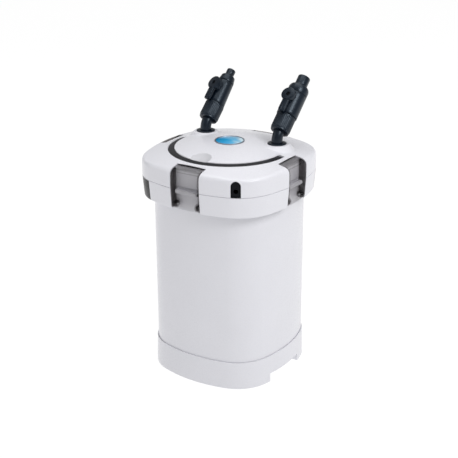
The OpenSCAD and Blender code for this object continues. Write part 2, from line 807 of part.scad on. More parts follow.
lid_z = basket_z + 3 * basket_h;
module basket_lid() {
    color([0.16, 0.17, 0.19]) difference() {
        union() {
            tub_form([[-5, lid_z], [-5, lid_z + 2.4]]);
            span([-30, -2, lid_z + 2], [30, 2, lid_z + 6]);
        }
        pipe_way(12, lid_z - 1, lid_z + 10);
        difference() {
            sieve_slots(lid_z - 1, lid_z + 10);
            span([-40, -6, lid_z - 5], [40, 6, lid_z + 20]);
        }
    }
}

module sponge(i, h) {
    z = basket_z + i * basket_h + 2.3;
    difference() {
        tub_form([[-7.6, z], [-7.6, z + h]]);
        pipe_way(14.6, z - 1, z + h + 1);
    }
}

module coarse_sponge() { color([0.20, 0.35, 0.60]) sponge(0, 66); }
module fine_sponge() { color([0.93, 0.93, 0.90]) sponge(2, 60); }

module ceramic_rings() {
    z = basket_z + basket_h + 2.4;
    color([0.85, 0.78, 0.68]) for (layer = [0, 1]) for (ix = [-3:3]) for (iy = [-3:3])
        if (norm([ix * 24 - pipe_x, iy * 24 - pipe_y]) > 26 && abs(ix) + abs(iy) < 6)
            translate([ix * 24, iy * 24, z + layer * 31]) difference() {
                cylinder(r = 9, h = 30, $fn = 24);
                translate([0, 0, -1]) cylinder(r = 4, h = 40, $fn = 24);
            }
}

base_skirt();
rubber_feet();
canister_tub();
collar_ring();
grip_front_left();
grip_rear_right();
clip_front();
clip_right();
clip_rear();
clip_left();
clip_hinge_pins();
head_cover();
head_base();
head_screws();
main_seal();
cord_gland();
badge_bezel();
badge_lens();
handle();
handle_pivot_pins();
inlet_flange();
outlet_flange();
inlet_elbow();
outlet_elbow();
inlet_elbow_seals();
outlet_elbow_seals();
inlet_union_nut();
outlet_union_nut();
inlet_tap_body();
outlet_tap_body();
inlet_tap_lever();
outlet_tap_lever();
inlet_tap_ball();
outlet_tap_ball();
inlet_lever_screw();
outlet_lever_screw();
inlet_hose_tail();
outlet_hose_tail();
stator_core();
stator_coils();
rotor_magnet();
impeller();
rotor_shaft();
shaft_bushes();
volute_cover();
volute_screws();
intake_pipe();
basket_lower();
basket_middle();
basket_upper();
basket_lid();
coarse_sponge();
ceramic_rings();
fine_sponge();
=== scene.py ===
"""Looks of the canister filter: detailed pieces, materials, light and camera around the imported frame."""
import math

import bmesh
import bpy
import numpy as np
from mathutils import Matrix, Vector


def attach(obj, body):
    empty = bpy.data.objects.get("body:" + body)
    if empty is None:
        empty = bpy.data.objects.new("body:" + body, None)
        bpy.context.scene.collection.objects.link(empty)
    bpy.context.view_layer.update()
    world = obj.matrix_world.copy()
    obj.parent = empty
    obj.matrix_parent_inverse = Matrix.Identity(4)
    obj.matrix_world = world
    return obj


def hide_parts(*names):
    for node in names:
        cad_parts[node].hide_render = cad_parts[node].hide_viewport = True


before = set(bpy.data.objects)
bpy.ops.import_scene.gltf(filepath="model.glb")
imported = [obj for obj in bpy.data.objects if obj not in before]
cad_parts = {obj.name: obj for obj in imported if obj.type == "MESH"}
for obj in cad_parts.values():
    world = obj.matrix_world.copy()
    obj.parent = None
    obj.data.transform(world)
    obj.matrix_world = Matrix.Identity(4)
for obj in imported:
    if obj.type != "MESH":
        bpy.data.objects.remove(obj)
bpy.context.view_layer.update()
scene = bpy.context.scene

# ------------ sizes, in millimetres
MM = 0.001
HEAD = (112.0, 6.2)  # half width and corner roundness of head and collar
TUB = (97.5, 5.2)
TURN = math.atan2(7, 24)  # direction in which a side's arc meets a corner's
SIDE_ARC, CORNER_ARC, CORNER_CUT = 17, 7, 8  # places and radii of the arcs, in units of the roundness
TOP_Z = 335.0
SEAM_Z = 293.4
COVER_Z = SEAM_Z + 0.2  # lower edge of the head cover
CORD_Z = SEAM_Z + 8.8  # middle of the cord's hole
COLLAR_Z = 264.2
DRAW = 2.3  # how far the collar draws in towards its lower edge
TUB_Z, RIM_Z = 17.0, 292.8
SKIRT_Z, SKIRT_TOP = 0.4, 41.4
NOTCH_W, NOTCH_H, NOTCH_FRONT, RIB_T = 74.5, 13.3, 4.2, 2.4
CLIP_HALF, CLIP_T, CLIP_Z = 22.9, 2.2, 265.6
POCKET_HALF, POCKET_Y = 23.4, -99.8
BLOCK_HALF = 25.8
LIP_Y = -91.2
HINGE_Y, HINGE_Z = -105.2, 271.0
CATCH_Y, CATCH_Z = -105.6, 289.0
BAIL_IN, BAIL_OUT, BAIL_Z, BAIL_END = 77.8, 86.2, 322.1, 3.3
GROOVE_IN, GROOVE_OUT, GROOVE_Z = 77.4, 86.6, 318.0
PIPE_X, PIPE_Y, BEND_Z, BEND_R = 60.0, 28.7, 343.6, 16.0
PAD_Z = 333.4
TILT, YAW, OUTLET_ROLL = math.radians(45), math.radians(2.2), math.radians(13)
TAP_W, LEVER_H, HUB_R = 58.0, 21.0, 10.2
NUT_FROM, NUT_TO, NUT_R = 7.4, 32.4, 14.1
BODY_FROM = 32.8
ELBOW_R, ELBOW_BORE = 7.8, 5.6
PIN_R, PRESS_R, TURN_R = 1.5, 1.52, 1.56  # a pin, the hole that holds it and the hole that turns on it
FOOT_AT, POST_AT = 64, 66  # feet and screw posts stand this far out in X and Y
FAR_Y, NEAR_Y, OVER_Z = -130, -80, 345  # how far the cutters reach: past a side, into it and over the head


# ------------ mesh helpers
def link(name, verts, faces):
    """A mesh object from points in millimetres."""
    mesh = bpy.data.meshes.new(name)
    mesh.from_pydata([tuple(v) for v in np.asarray(verts, float) * MM], [], faces)
    obj = bpy.data.objects.new(name, mesh)
    scene.collection.objects.link(obj)
    bm = bmesh.new()
    bm.from_mesh(mesh)
    bmesh.ops.remove_doubles(bm, verts=bm.verts, dist=2e-7)
    bmesh.ops.recalc_face_normals(bm, faces=bm.faces)
    bm.to_mesh(mesh)
    bm.free()
    return obj


def stack(rings, close):
    """Vertices and faces of a skin through rings of equal length, capped unless it closes on itself."""
    rings = [np.asarray(r, float) for r in rings]
    n, m = len(rings[0]), len(rings)
    verts = np.concatenate(rings)
    faces = []
    for j in range(m if close else m - 1):
        a, b = j * n, (j + 1) % m * n
        for i in range(n):
            k = (i + 1) % n
            faces.append((a + i, a + k, b + k, b + i))
    if not close:
        faces.append(tuple(range(n - 1, -1, -1)))
        faces.append(tuple(range((m - 1) * n, m * n)))
    return verts, faces


def skin(name, rings, close=False):
    return link(name, *stack(rings, close))


def lathe(name, profile, n, close=False):
    """Revolves (radius, z) points about Z. An open profile starts and ends on the axis or is capped."""
    a = np.linspace(0, 2 * math.pi, n, endpoint=False)
    rings = [np.stack([r * np.cos(a), r * np.sin(a), np.full(n, z)], 1) for r, z in profile]
    return skin(name, rings, close=close)


def prism(name, outline_points, z0, z1):
    p = np.asarray(outline_points, float)
    return skin(name, [np.c_[p, np.full(len(p), z)] for z in (z0, z1)])


def box(name, lo, hi):
    (x0, y0, z0), (x1, y1, z1) = lo, hi
    return prism(name, [(x0, y0), (x1, y0), (x1, y1), (x0, y1)], z0, z1)


def rod(name, r, p0, p1, n=32, chamfer=0.0):
    """A round rod between two points."""
    p0, p1 = Vector(p0), Vector(p1)
    length = (p1 - p0).length
    c = chamfer
    profile = [(r, 0), (r, length)] if not c else [(r - c, 0), (r, c), (r, length - c), (r - c, length)]
    obj = lathe(name, profile, n)
    turn = (p1 - p0).to_track_quat("Z", "Y").to_matrix().to_4x4()
    place(obj, Matrix.Translation(p0) @ turn)
    return obj


def place(obj, matrix):
    """Moves the mesh by a matrix in millimetres."""
    scale = Matrix.Scale(MM, 4)
    obj.data.transform(scale @ matrix @ scale.inverted())
    if matrix.determinant() < 0:
        obj.data.flip_normals()
    return obj


def moved(x, y, z=0):
    return Matrix.Translation((x, y, z))


def spun(angle):
    return Matrix.Rotation(angle, 4, "Z")


def copy_of(obj, name, matrix):
    new = bpy.data.objects.new(name, obj.data.copy())
    scene.collection.objects.link(new)
    return place(new, matrix)


def apply(obj):
    """Applies the modifiers to the mesh."""
    bpy.context.view_layer.update()
    mesh = bpy.data.meshes.new_from_object(obj.evaluated_get(bpy.context.evaluated_depsgraph_get()))
    obj.modifiers.clear()
    old, obj.data = obj.data, mesh
    bpy.data.meshes.remove(old)
    return obj


def boolean(obj, others, operation, keep=False):
    for other in others:
        m = obj.modifiers.new("cut", "BOOLEAN")
        m.object, m.operation, m.solver = other, operation, "MANIFOLD"
    apply(obj)
    if not keep:
        for other in others:
            bpy.data.objects.remove(other)
    return obj


def cut(obj, *others, keep=False):
    return boolean(obj, others, "DIFFERENCE", keep)


def fuse(obj, *others):
    return boolean(obj, others, "UNION")


def within(obj, *others, keep=False):
    return boolean(obj, others, "INTERSECT", keep)


def soften(obj, width, segments=2, angle=40):
    """Rounds the sharp edges."""
    m = obj.modifiers.new("round", "BEVEL")
    m.width, m.segments, m.limit_method = width * MM, segments, "ANGLE"
    m.angle_limit = math.radians(angle)
    return apply(obj)


def join(name, objs):
    """One object from several, their meshes side by side."""
    bm = bmesh.new()
    for o in objs:
        bm.from_mesh(o.data)
    mesh = bpy.data.meshes.new(name)
    bm.to_mesh(mesh)
    bm.free()
    for o in objs:
        bpy.data.objects.remove(o)
    obj = bpy.data.objects.new(name, mesh)
    scene.collection.objects.link(obj)
    return obj


def finish_piece(obj, name, material, slot, body, *nodes, sharp=38):
    """Names, shades and mounts a piece in place of its CAD nodes."""
    obj.name = obj.data.name = name
    mesh = obj.data
    mesh.polygons.foreach_set("use_smooth", [True] * len(mesh.polygons))
    mesh.set_sharp_from_angle(angle=math.radians(sharp))
    mesh.materials.clear()
    mesh.materials.append(material)
    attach(obj, body)
    if nodes:
        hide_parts(*nodes)
    return obj


# ------------ the eight-arc outline
def outline(family, fine):
    """Points and outward normals of the outline."""
    half, k = family
    points, normals = [], []
    for i in range(4):
        for cx, cy, r, a0, a1, n in (
            (-SIDE_ARC * k, 0, half + SIDE_ARC * k, -TURN, TURN, 36),
            (CORNER_ARC * k, CORNER_ARC * k, half - CORNER_CUT * k, TURN, math.pi / 2 - TURN, 32),
        ):
            n = max(4, int(n * fine))
            a = a0 + (a1 - a0) * np.arange(n) / n
            c, s = np.cos(a), np.sin(a)
            p = np.stack([cx + r * c, cy + r * s], 1)
            q = np.stack([c, s], 1)
            t = math.pi / 2 * i
            m = np.array([[math.cos(t), math.sin(t)], [-math.sin(t), math.cos(t)]])
            points.append(p @ m)
            normals.append(q @ m)
    return np.concatenate(points), np.concatenate(normals)


def ring(family, offset, z, fine=1.0):
    p, n = outline(family, fine)
    return np.c_[p + offset * n, np.full(len(p), z)]


def form(name, family, profile, fine=1.0):
    """A solid whose outline is offset by each (offset, z) of the profile, from the bottom up."""
    return skin(name, [ring(family, o, z, fine) for o, z in profile])


def arc(cx, cz, r, a0, a1, n):
    angles = np.radians(np.linspace(a0, a1, n))
    return [(cx + r * math.cos(a), cz + r * math.sin(a)) for a in angles]


def four_at(reach):
    """The four places at plus and minus reach in X and Y."""
    return [(x, y) for x in (-reach, reach) for y in (-reach, reach)]


# ------------ the head's top surface
def smooth_min(a, b, k):
    h = np.clip(0.5 + 0.5 * (b - a) / k, 0, 1)
    return b + (a - b) * h - k * h * (1 - h)


FLAT_R, BOWL_R, BOWL_K, SLOPE = 21.0, 75.0, 705.0, 0.213
EDGE_Z, EDGE_R, EDGE_SLOPE, EDGE_SOFT = 312, 9, 1.001, 1.5
PAD_R, PAD_SLOPE = 17.2, 1.15


def dome(x, y):
    """Flat under the badge, then a bowl as far as the handle, then a straight slope."""
    q = np.hypot(x, y)
    near = np.minimum(q, BOWL_R)
    return TOP_Z - np.maximum(0, near * near - FLAT_R ** 2) / BOWL_K - np.maximum(0, q - BOWL_R) * SLOPE


def roll(d):
    """Height of the rolled edge at distance d inside the outline."""
    d = np.asarray(d, float)
    c = np.clip(1 - d / EDGE_R, 0.5, 1)
    return EDGE_Z + EDGE_R * np.sqrt(np.maximum(0, 1 - c * c)) + np.maximum(0, d - EDGE_R / 2) * EDGE_SLOPE


def roll_steps(first):
    """Distances inside the outline for even steps along the rolled edge."""
    return [EDGE_R - EDGE_R * math.cos(math.radians(a)) for a in range(first, 56, 6)]


def top(x, y, d, pads):
    """Height of the head at a place that lies d inside the outline, with or without the pipes' pads."""
    z = dome(x, y)
    if pads:
        for s in (-1, 1):
            rho = np.hypot(x - s * PIPE_X, y - PIPE_Y)
            pad = smooth_min(np.full_like(rho, PAD_Z), PAD_Z - 0.4 - (rho - PAD_R) * PAD_SLOPE, 1.4)
            z = -smooth_min(-z, -pad, 1.8)
    return smooth_min(z, roll(d), EDGE_SOFT)


def head_rings(inset, z0, pads, fine, edge, centre_rings):
    """Rings of the head's outside, or of the same form inset by a wall."""
    rings = []
    if edge:
        rings.append(ring(HEAD, -inset - edge, z0, fine))
        rings.append(ring(HEAD, -inset - edge * 0.3, z0 + edge * 0.3, fine))
        rings.append(ring(HEAD, -inset, z0 + edge, fine))
    else:
        rings.append(ring(HEAD, -inset, z0, fine))
    for z in (298.0, 303.0, 308.0):
        rings.append(ring(HEAD, -inset, z, fine))
    p, n = outline(HEAD, fine)
    steps = roll_steps(0)
    steps += list(np.arange(4.2, 14.6, 0.8))
    for d in steps:
        q = p - (d + inset) * n
        z = top(q[:, 0], q[:, 1], np.full(len(q), d), pads) - inset
        rings.append(np.c_[q, z])
    last = p - (steps[-1] + inset) * n
    for s in np.linspace(1, 0, centre_rings + 1)[1:]:
        q = last * max(s, 0.004)
        z = top(q[:, 0], q[:, 1], np.full(len(q), 40.0), pads) - inset
        rings.append(np.c_[q, z])
    return rings


# ------------ materials
def nodes_of(material):
    material.use_nodes = True
    tree = material.node_tree
    return tree, tree.nodes["Principled BSDF"]


def noise(tree, scale, detail, roughness=0.5, stretch=None):
    where = tree.nodes.new("ShaderNodeTexCoord")
    tex = tree.nodes.new("ShaderNodeTexNoise")
    tex.inputs["Scale"].default_value = scale
    tex.inputs["Detail"].default_value = detail
    tex.inputs["Roughness"].default_value = roughness
    out = where.outputs["Object"]
    if stretch:
        mapping = tree.nodes.new("ShaderNodeMapping")
        mapping.inputs["Scale"].default_value = stretch
        tree.links.new(out, mapping.inputs["Vector"])
        out = mapping.outputs["Vector"]
    tree.links.new(out, tex.inputs["Vector"])
    return tex.outputs["Fac"]


def ramp(tree, value, stops):
    node = tree.nodes.new("ShaderNodeValToRGB")
    e = node.color_ramp.elements
    while len(e) < len(stops):
        e.new(0.5)
    for item, (at, colour) in zip(e, stops):
        item.position = at
        item.color = (*colour, 1)
    tree.links.new(value, node.inputs["Fac"])
    return node.outputs["Color"]


def spread(tree, value, least, most):
    node = tree.nodes.new("ShaderNodeMapRange")
    node.inputs["From Min"].default_value, node.inputs["From Max"].default_value = 0.3, 0.7
    node.inputs["To Min"].default_value, node.inputs["To Max"].default_value = least, most
    tree.links.new(value, node.inputs["Value"])
    return node.outputs["Result"]


def bump(tree, shader, value, strength, distance):
    node = tree.nodes.new("ShaderNodeBump")
    node.inputs["Strength"].default_value = strength
    node.inputs["Distance"].default_value = distance * MM
    tree.links.new(value, node.inputs["Height"])
    tree.links.new(node.outputs["Normal"], shader.inputs["Normal"])


def moulded(name, colour, vary, rough, grain, grain_depth=0.02, coat=0.0, alpha=1.0, metallic=0.0, cloud=18.0,
            grain_strength=0.35, stretch=None, gloss=0.5, tint=(1, 1, 1), dye=None):
    """A moulded or machined surface: faint clouding, uneven gloss and fine grain."""
    material = bpy.data.materials.new(name)
    tree, shader = nodes_of(material)
    big = noise(tree, cloud, 4.0, 0.6, stretch)
    fine_noise = noise(tree, grain, 3.0, 0.6, stretch)
    dark = tuple(max(0.0, c * (1 - vary)) for c in colour)
    light = tuple(min(1.0, c * (1 + vary)) for c in colour)
    tree.links.new(ramp(tree, big, [(0.3, dark), (0.7, light)]), shader.inputs["Base Color"])
    tree.links.new(spread(tree, fine_noise, *rough), shader.inputs["Roughness"])
    bump(tree, shader, fine_noise, grain_strength, grain_depth)
    shader.inputs["Metallic"].default_value = metallic
    shader.inputs["IOR"].default_value = 1.5
    shader.inputs["Coat Weight"].default_value = coat
    shader.inputs["Coat Roughness"].default_value = 0.12
    shader.inputs["Specular IOR Level"].default_value = gloss
    shader.inputs["Specular Tint"].default_value = (*tint, 1)
    shader.inputs["Alpha"].default_value = alpha
    if dye:
        dye_colour, density = dye
        inside = tree.nodes.new("ShaderNodeVolumeAbsorption")
        inside.inputs["Color"].default_value = (*dye_colour, 1)
        inside.inputs["Density"].default_value = density
        out = next(n for n in tree.nodes if n.type == "OUTPUT_MATERIAL")
        tree.links.new(inside.outputs["Volume"], out.inputs["Volume"])
    return material


WHITE = moulded("white_gloss_plastic", (0.725, 0.725, 0.77), 0.012, (0.24, 0.34), 1400, 0.012, coat=0.2)
# A duller white used only inside the finger scoop. Its darker colour is painted shade for the scoop's hollow.
SCOOP_SHADED = moulded("white_plastic_painted_scoop_shade", (0.55, 0.55, 0.58), 0.03, (0.45, 0.6), 1100, 0.03)
INNER = moulded("natural_plastic", (0.66, 0.66, 0.69), 0.03, (0.4, 0.5), 800)
BLACK = moulded("black_satin_plastic", (0.002, 0.005, 0.011), 0.15, (0.29, 0.33), 1600, 0.006, gloss=0.42,
                tint=(0.74, 0.87, 1.0))
BLACK_DEEP = moulded("black_gland_rubber", (0.004, 0.005, 0.007), 0.15, (0.5, 0.65), 1200, 0.03, gloss=0.12)
HANDLE = moulded("handle_plastic", (0.008, 0.008, 0.011), 0.12, (0.34, 0.46), 1400, 0.02, gloss=0.25)
SMOKE_SKIN, SMOKE_DYE = (0.02, 0.019, 0.019), (0.10, 0.07, 0.075)
SMOKE = moulded("smoke_clear_plastic", SMOKE_SKIN, 0.05, (0.08, 0.14), 500, 0.01, alpha=0.03,
                dye=(SMOKE_DYE, 84.0))
# Denser smoke for the cheeks, the lip's sheet and the beads: its extra darkness is painted shade for the dark
# edges and fold lines of the clear plastic.
SMOKE_SHADED = moulded("smoke_plastic_painted_edge_shade", SMOKE_SKIN, 0.05, (0.08, 0.14), 500, 0.01, alpha=0.05,
                     dye=(SMOKE_DYE, 230.0))
GRIP = moulded("smoke_grip_plastic", (0.03, 0.029, 0.03), 0.05, (0.12, 0.2), 500, 0.01, alpha=0.6,
               dye=((0.07, 0.05, 0.05), 250.0))
STEEL = moulded("brushed_steel", (0.52, 0.53, 0.55), 0.06, (0.22, 0.38), 600, 0.01, metallic=1.0,
                stretch=(1, 1, 12))
DARK_STEEL = moulded("satin_steel_rim", (0.26, 0.29, 0.34), 0.06, (0.25, 0.4), 600, 0.01, metallic=1.0)
RUBBER = moulded("foot_rubber", (0.02, 0.02, 0.021), 0.12, (0.6, 0.8), 900, 0.05)
BASKET = moulded("basket_plastic", (0.022, 0.024, 0.029), 0.1, (0.45, 0.6), 900)
IRON = moulded("laminated_iron", (0.16, 0.16, 0.17), 0.1, (0.35, 0.5), 500, metallic=0.8)
COPPER = moulded("varnished_copper", (0.40, 0.13, 0.04), 0.15, (0.25, 0.4), 700, 0.06, metallic=0.7)
MAGNET = moulded("ground_ferrite", (0.05, 0.05, 0.06), 0.1, (0.3, 0.4), 1500, metallic=0.4)
IMPELLER = moulded("impeller_plastic", (0.03, 0.07, 0.26), 0.06, (0.3, 0.42), 900)
CERAMIC = moulded("ground_ceramic", (0.82, 0.82, 0.78), 0.02, (0.15, 0.25), 1200)
MEDIA = moulded("porous_ceramic", (0.66, 0.55, 0.42), 0.15, (0.85, 0.95), 420, 0.35, cloud=60,
                grain_strength=0.9)
FOAM_BLUE = moulded("coarse_blue_foam", (0.03, 0.10, 0.32), 0.35, (0.9, 1.0), 330, 1.2, cloud=300,
                    grain_strength=1.0)
FOAM_WHITE = moulded("fine_white_foam", (0.84, 0.84, 0.80), 0.1, (0.9, 1.0), 800, 0.5, cloud=500,
                     grain_strength=1.0)


# ------------ base and tub
def each_side(name, obj):
    """Four turned copies of a cutter, the original used up."""
    made = [copy_of(obj, f"{name}{i}", spun(math.pi / 2 * i)) for i in range(4)]
    bpy.data.objects.remove(obj)
    return made


def side_blocks(z0, z1, half=BLOCK_HALF):
    """A block across the middle of each side."""
    return each_side("block", box("block", (-half, FAR_Y, z0), (half, NEAR_Y, z1)))


def build_skirt():
    foot_out, draw, rise = 2.78, 1.05, SKIRT_TOP - 1.4 - SKIRT_Z
    profile = [(-3, 14.0), (0.2, 14.0), (0.2, SKIRT_Z + 0.3), (0.5, SKIRT_Z), (2.2, SKIRT_Z),
               (2.65, SKIRT_Z + 0.15), (foot_out, SKIRT_Z + 0.6)]
    profile += [(foot_out - draw * t, SKIRT_Z + 0.6 + rise * t) for t in np.linspace(0, 1, 12)[1:]]
    profile += [(1.66, SKIRT_TOP - 0.35), (1.5, SKIRT_TOP - 0.1), (1.2, SKIRT_TOP), (0.55, SKIRT_TOP),
                (0.3, SKIRT_TOP - 0.3), (0.3, 17.0), (-3, 17.0)]
    skirt = form("skirt", TUB, profile)
    for x, y in four_at(FOOT_AT):
        boss = lathe("boss", [(11.2, SKIRT_Z + 0.6), (11.5, SKIRT_Z + 0.9), (11.5, 15.0)], 64)
        fuse(skirt, place(boss, moved(x, y)))
        hole = lathe("hole", [(9.1, -1), (9.1, 2.9)], 64)
        cut(skirt, place(hole, moved(x, y)))
    w, h, r = NOTCH_W / 2, NOTCH_H, 0.8
    corner = [(w - r + r * math.cos(a), h - r + r * math.sin(a)) for a in np.linspace(0, math.pi / 2, 5)]
    shape = [(w + 0.8, -2), (w + 0.8, SKIRT_Z), (w, SKIRT_Z + 0.8)] + corner
    shape += [(-x, z) for x, z in reversed(shape)]
    limit = form("limit", TUB, [(1, SKIRT_Z + 0.6), (1, TUB_Z - 2)], 0.5)
    for side in (-1, 1):
        for y in (-NOTCH_W / 2 - RIB_T, NOTCH_W / 2):
            x0, x1 = sorted((side * 82, side * 110))
            rib = box("rib", (x0, y - NOTCH_FRONT, -5), (x1, y - NOTCH_FRONT + RIB_T, 30))
            fuse(skirt, within(rib, limit, keep=True))
    bpy.data.objects.remove(limit)
    notch = prism("notch", shape, FAR_Y, -FAR_Y)
    turn = Matrix(((0, 0, 1, 0), (1, 0, 0, -NOTCH_FRONT), (0, 1, 0, 0), (0, 0, 0, 1)))
    cut(skirt, place(notch, turn))
    finish_piece(skirt, "skirt", WHITE, "white_plastic", "canister", "base_skirt")


def build_feet():
    feet = []
    profile = [(0, 1.2), (2.7, 1.2), (3.0, 0.9), (3.2, 0.0), (8.3, 0.0), (8.8, 0.3), (9.0, 0.8), (9.0, 2.6),
               (8.7, 3.0), (0, 3.0)]
    for x, y in four_at(FOOT_AT):
        foot = lathe("foot", profile, 64)
        for i in range(12):
            groove = box("groove", (4.6, -0.4, -1), (7.4, 0.4, 0.35))
            cut(foot, place(groove, spun(math.pi / 6 * i)))
        feet.append(place(foot, moved(x, y)))
    finish_piece(join("feet", feet), "feet", RUBBER, "rubber", "canister", "rubber_feet")


def build_tub():
    profile = [(-5, TUB_Z), (-1.5, TUB_Z)] + [(-1.5 + 1.5 * math.sin(a), TUB_Z + 1.5 - 1.5 * math.cos(a))
                                               for a in np.linspace(0.3, math.pi / 2, 5)]
    profile += [(0, z) for z in np.linspace(TUB_Z + 8, RIM_Z - 0.4, 24)]
    profile += [(-0.4, RIM_Z), (-2.6, RIM_Z), (-3, RIM_Z - 0.4), (-3, 20), (-6, 20)]
    tub = form("tub", TUB, profile)
    low = RIM_Z - 5.2
    lip = [(-1, low), (7.6, low), (8, RIM_Z - 4.8), (8, RIM_Z - 0.4), (7.6, RIM_Z), (-1, RIM_Z)]
    flange = skin("flange", [ring(TUB, o, z) for o, z in lip], close=True)
    cut(flange, *side_blocks(280, 300, BLOCK_HALF + 0.3))
    fuse(tub, flange)
    finish_piece(tub, "tub", WHITE, "white_plastic", "canister", "canister_tub")


# ------------ collar
def pocket_cutter(z0, z1):
    return box("pocket", (-POCKET_HALF, FAR_Y, z0), (POCKET_HALF, POCKET_Y, z1))


def grip_solid(name, gap=0.0, edge=0.0):
    """A corner grip, or with a gap the seat that is cut for it."""
    rc = HEAD[0] - CORNER_CUT * HEAD[1]
    centre = CORNER_ARC * HEAD[1]
    low = round(DRAW * 0.986, 2)
    thick, z0, z1 = 2.5, 264.6, 292.6
    half = math.radians(23 + gap * 2)
    loop = [(rc - low - thick - gap, z0 - gap), (rc - low + 10 * gap, z0 - gap),
            (rc + 10 * gap, z1 + gap), (rc - thick - gap, z1 + gap)]
    rings = []
    for t in np.linspace(math.pi / 4 - half, math.pi / 4 + half, 33):
        rings.append([(centre + r * math.cos(t), centre + r * math.sin(t), z) for r, z in loop])
    obj = skin(name, rings)
    return soften(obj, edge, 3) if edge else obj


def build_collar():
    outer = [(-DRAW - 1.2, COLLAR_Z), (-DRAW - 0.35, COLLAR_Z + 0.15), (-DRAW + 0.02, COLLAR_Z + 0.9)]
    outer += [(-DRAW * (1 - t), COLLAR_Z + 29 * t) for t in np.linspace(0.05, 0.985, 14)]
    outer += [(-0.12, 293.05), (-0.45, 293.2)]
    collar = form("collar", HEAD, outer)
    cut(collar, form("bore", TUB, [(0.3, 250), (0.3, 300)]))
    channel = form("channel", HEAD, [(-DRAW - 3, 250), (-3.9, 284)])
    cut(channel, form("sleeve", TUB, [(2.3, 240), (2.3, 290)]))
    cut(channel, *side_blocks(240, 290))
    for a in (45, 225):
        block = box("block", (80, -34, 240), (130, 34, 290))
        cut(channel, place(block, spun(math.radians(a))))
    cut(collar, channel)
    rim = form("rim", TUB, [(8.4, RIM_Z - 5.5), (8.4, 300)])
    cut(rim, *side_blocks(280, 301))
    cut(collar, rim)
    cut(collar, *each_side("pocket", pocket_cutter(250, 300)))
    for a in (0, math.pi):
        cut(collar, place(grip_solid("seat", 0.15), spun(a)))
    for s in (-1, 1):
        hole = rod("pin_hole", PRESS_R, (s * 22.4, HINGE_Y, HINGE_Z), (s * 25.6, HINGE_Y, HINGE_Z))
        cut(collar, *each_side("pin_hole", hole))
    bar = rod("bar", 2.9, (-17, CATCH_Y, CATCH_Z), (17, CATCH_Y, CATCH_Z), 40, 0.5)
    for s in (-1, 1):
        x0, x1 = sorted((s * 16.0, s * 18.0))
        web = box("web", (x0, CATCH_Y - 1.4, CATCH_Z - 2.4), (x1, POCKET_Y + 0.6, CATCH_Z + 2.4))
        fuse(bar, soften(web, 0.3))
    fuse(collar, *each_side("bar", bar))
    finish_piece(collar, "collar", WHITE, "white_plastic", "canister", "collar_ring")
    for name, a in (("grip_front_left_cover", math.pi), ("grip_rear_right_cover", 0)):
        grip = place(grip_solid("grip", edge=0.35), spun(a))
        finish_piece(grip, name, GRIP, "smoke_plastic", "canister", name.replace("_cover", ""))


# ------------ head cover
def head_solid(name, inset, z0=COVER_Z, pads=False, fine=0.7, edge=0.0, centre_rings=30):
    return skin(name, head_rings(inset, z0, pads, fine, edge, centre_rings))


FACE_COLUMNS = 25  # points across a clip


def clip_face(inset, x, lip_extra=0.0, z_low=CLIP_Z):
    """Rows of points on the outside of collar and head under the front clip, drawn in by inset."""
    half, k = HEAD
    side = SIDE_ARC * k
    xs = np.linspace(-x, x, FACE_COLUMNS)
    rows = []
    taper = [(-DRAW * (SEAM_Z - z) / (SEAM_Z - COLLAR_Z), z) for z in np.linspace(z_low, SEAM_Z, 12)]
    for off, z in taper + [(0, z) for z in np.linspace(296, 312, 7)]:
        y = -(np.sqrt((half + side + off) ** 2 - xs ** 2) - side)
        rows.append(np.c_[xs, y, np.full(FACE_COLUMNS, z)])
    d_end = half + LIP_Y - lip_extra
    for d in np.r_[roll_steps(6), np.linspace(4.4, d_end, 22)]:
        y = -(np.sqrt((half + side - d) ** 2 - xs ** 2) - side)
        f = (d / d_end) ** 6  # the lip ends in a straight line
        y = y * (1 - f) - (half - d) * f
        rows.append(np.c_[xs, y, top(xs, y, np.full(FACE_COLUMNS, d), pads=False)])
    grid = np.array(rows)
    if inset:
        n = np.cross(np.gradient(grid, axis=1), np.gradient(grid, axis=0))
        n /= np.linalg.norm(n, axis=2)[:, :, None]
        n *= np.sign((n * (grid * [0, 1, 0] + [0, 0, 1])).sum(2))[:, :, None]
        n[:, :, 0] = 0
        grid = grid - n * inset
    return grid


def slab(name, outside, inside):
    """A closed solid between two grids of points."""
    m, n = outside.shape[:2]
    verts = np.concatenate([outside.reshape(-1, 3), inside.reshape(-1, 3)])
    size = m * n
    faces = []
    for i in range(m - 1):
        for j in range(n - 1):
            a, b, c, d = i * n + j, i * n + j + 1, (i + 1) * n + j + 1, (i + 1) * n + j
            faces += [(a, b, c, d), (size + d, size + c, size + b, size + a)]
    rim = list(range(n)) + [i * n + n - 1 for i in range(1, m)]
    rim += [(m - 1) * n + j for j in range(n - 2, -1, -1)] + [i * n for i in range(m - 2, 0, -1)]
    for a, b in zip(rim, rim[1:] + rim[:1]):
        faces.append((b, a, size + a, size + b))
    return link(name, verts, faces)


SCOOP_R, SCOOP_DEPTH, SCOOP_X, SCOOP_Y, SCOOP_TILT = 37.0, 3.5, -0.5, -71.0, math.radians(11.4)
SCOOP_UP = SCOOP_R - SCOOP_DEPTH
SCOOP_AT = (SCOOP_X, SCOOP_Y - SCOOP_UP * math.sin(SCOOP_TILT),
            float(dome(SCOOP_X, SCOOP_Y)) + SCOOP_UP * math.cos(SCOOP_TILT))


def scoop_ball(grow):
    """The ball that sinks the finger scoop behind the handle, open to the handle's groove."""
    r = SCOOP_R + grow
    ball = lathe("scoop", [(r * math.sin(t), -r * math.cos(t)) for t in np.linspace(0, math.pi, 49)], 128)
    return place(ball, Matrix.Translation(SCOOP_AT))


def pivot_rod(name, r, side, x0, x1, chamfer=0.0):
    """A rod along the bail's pivot line on one side."""
    return rod(name, r, (side * x0, 0, BAIL_Z), (side * x1, 0, BAIL_Z), 32, chamfer)


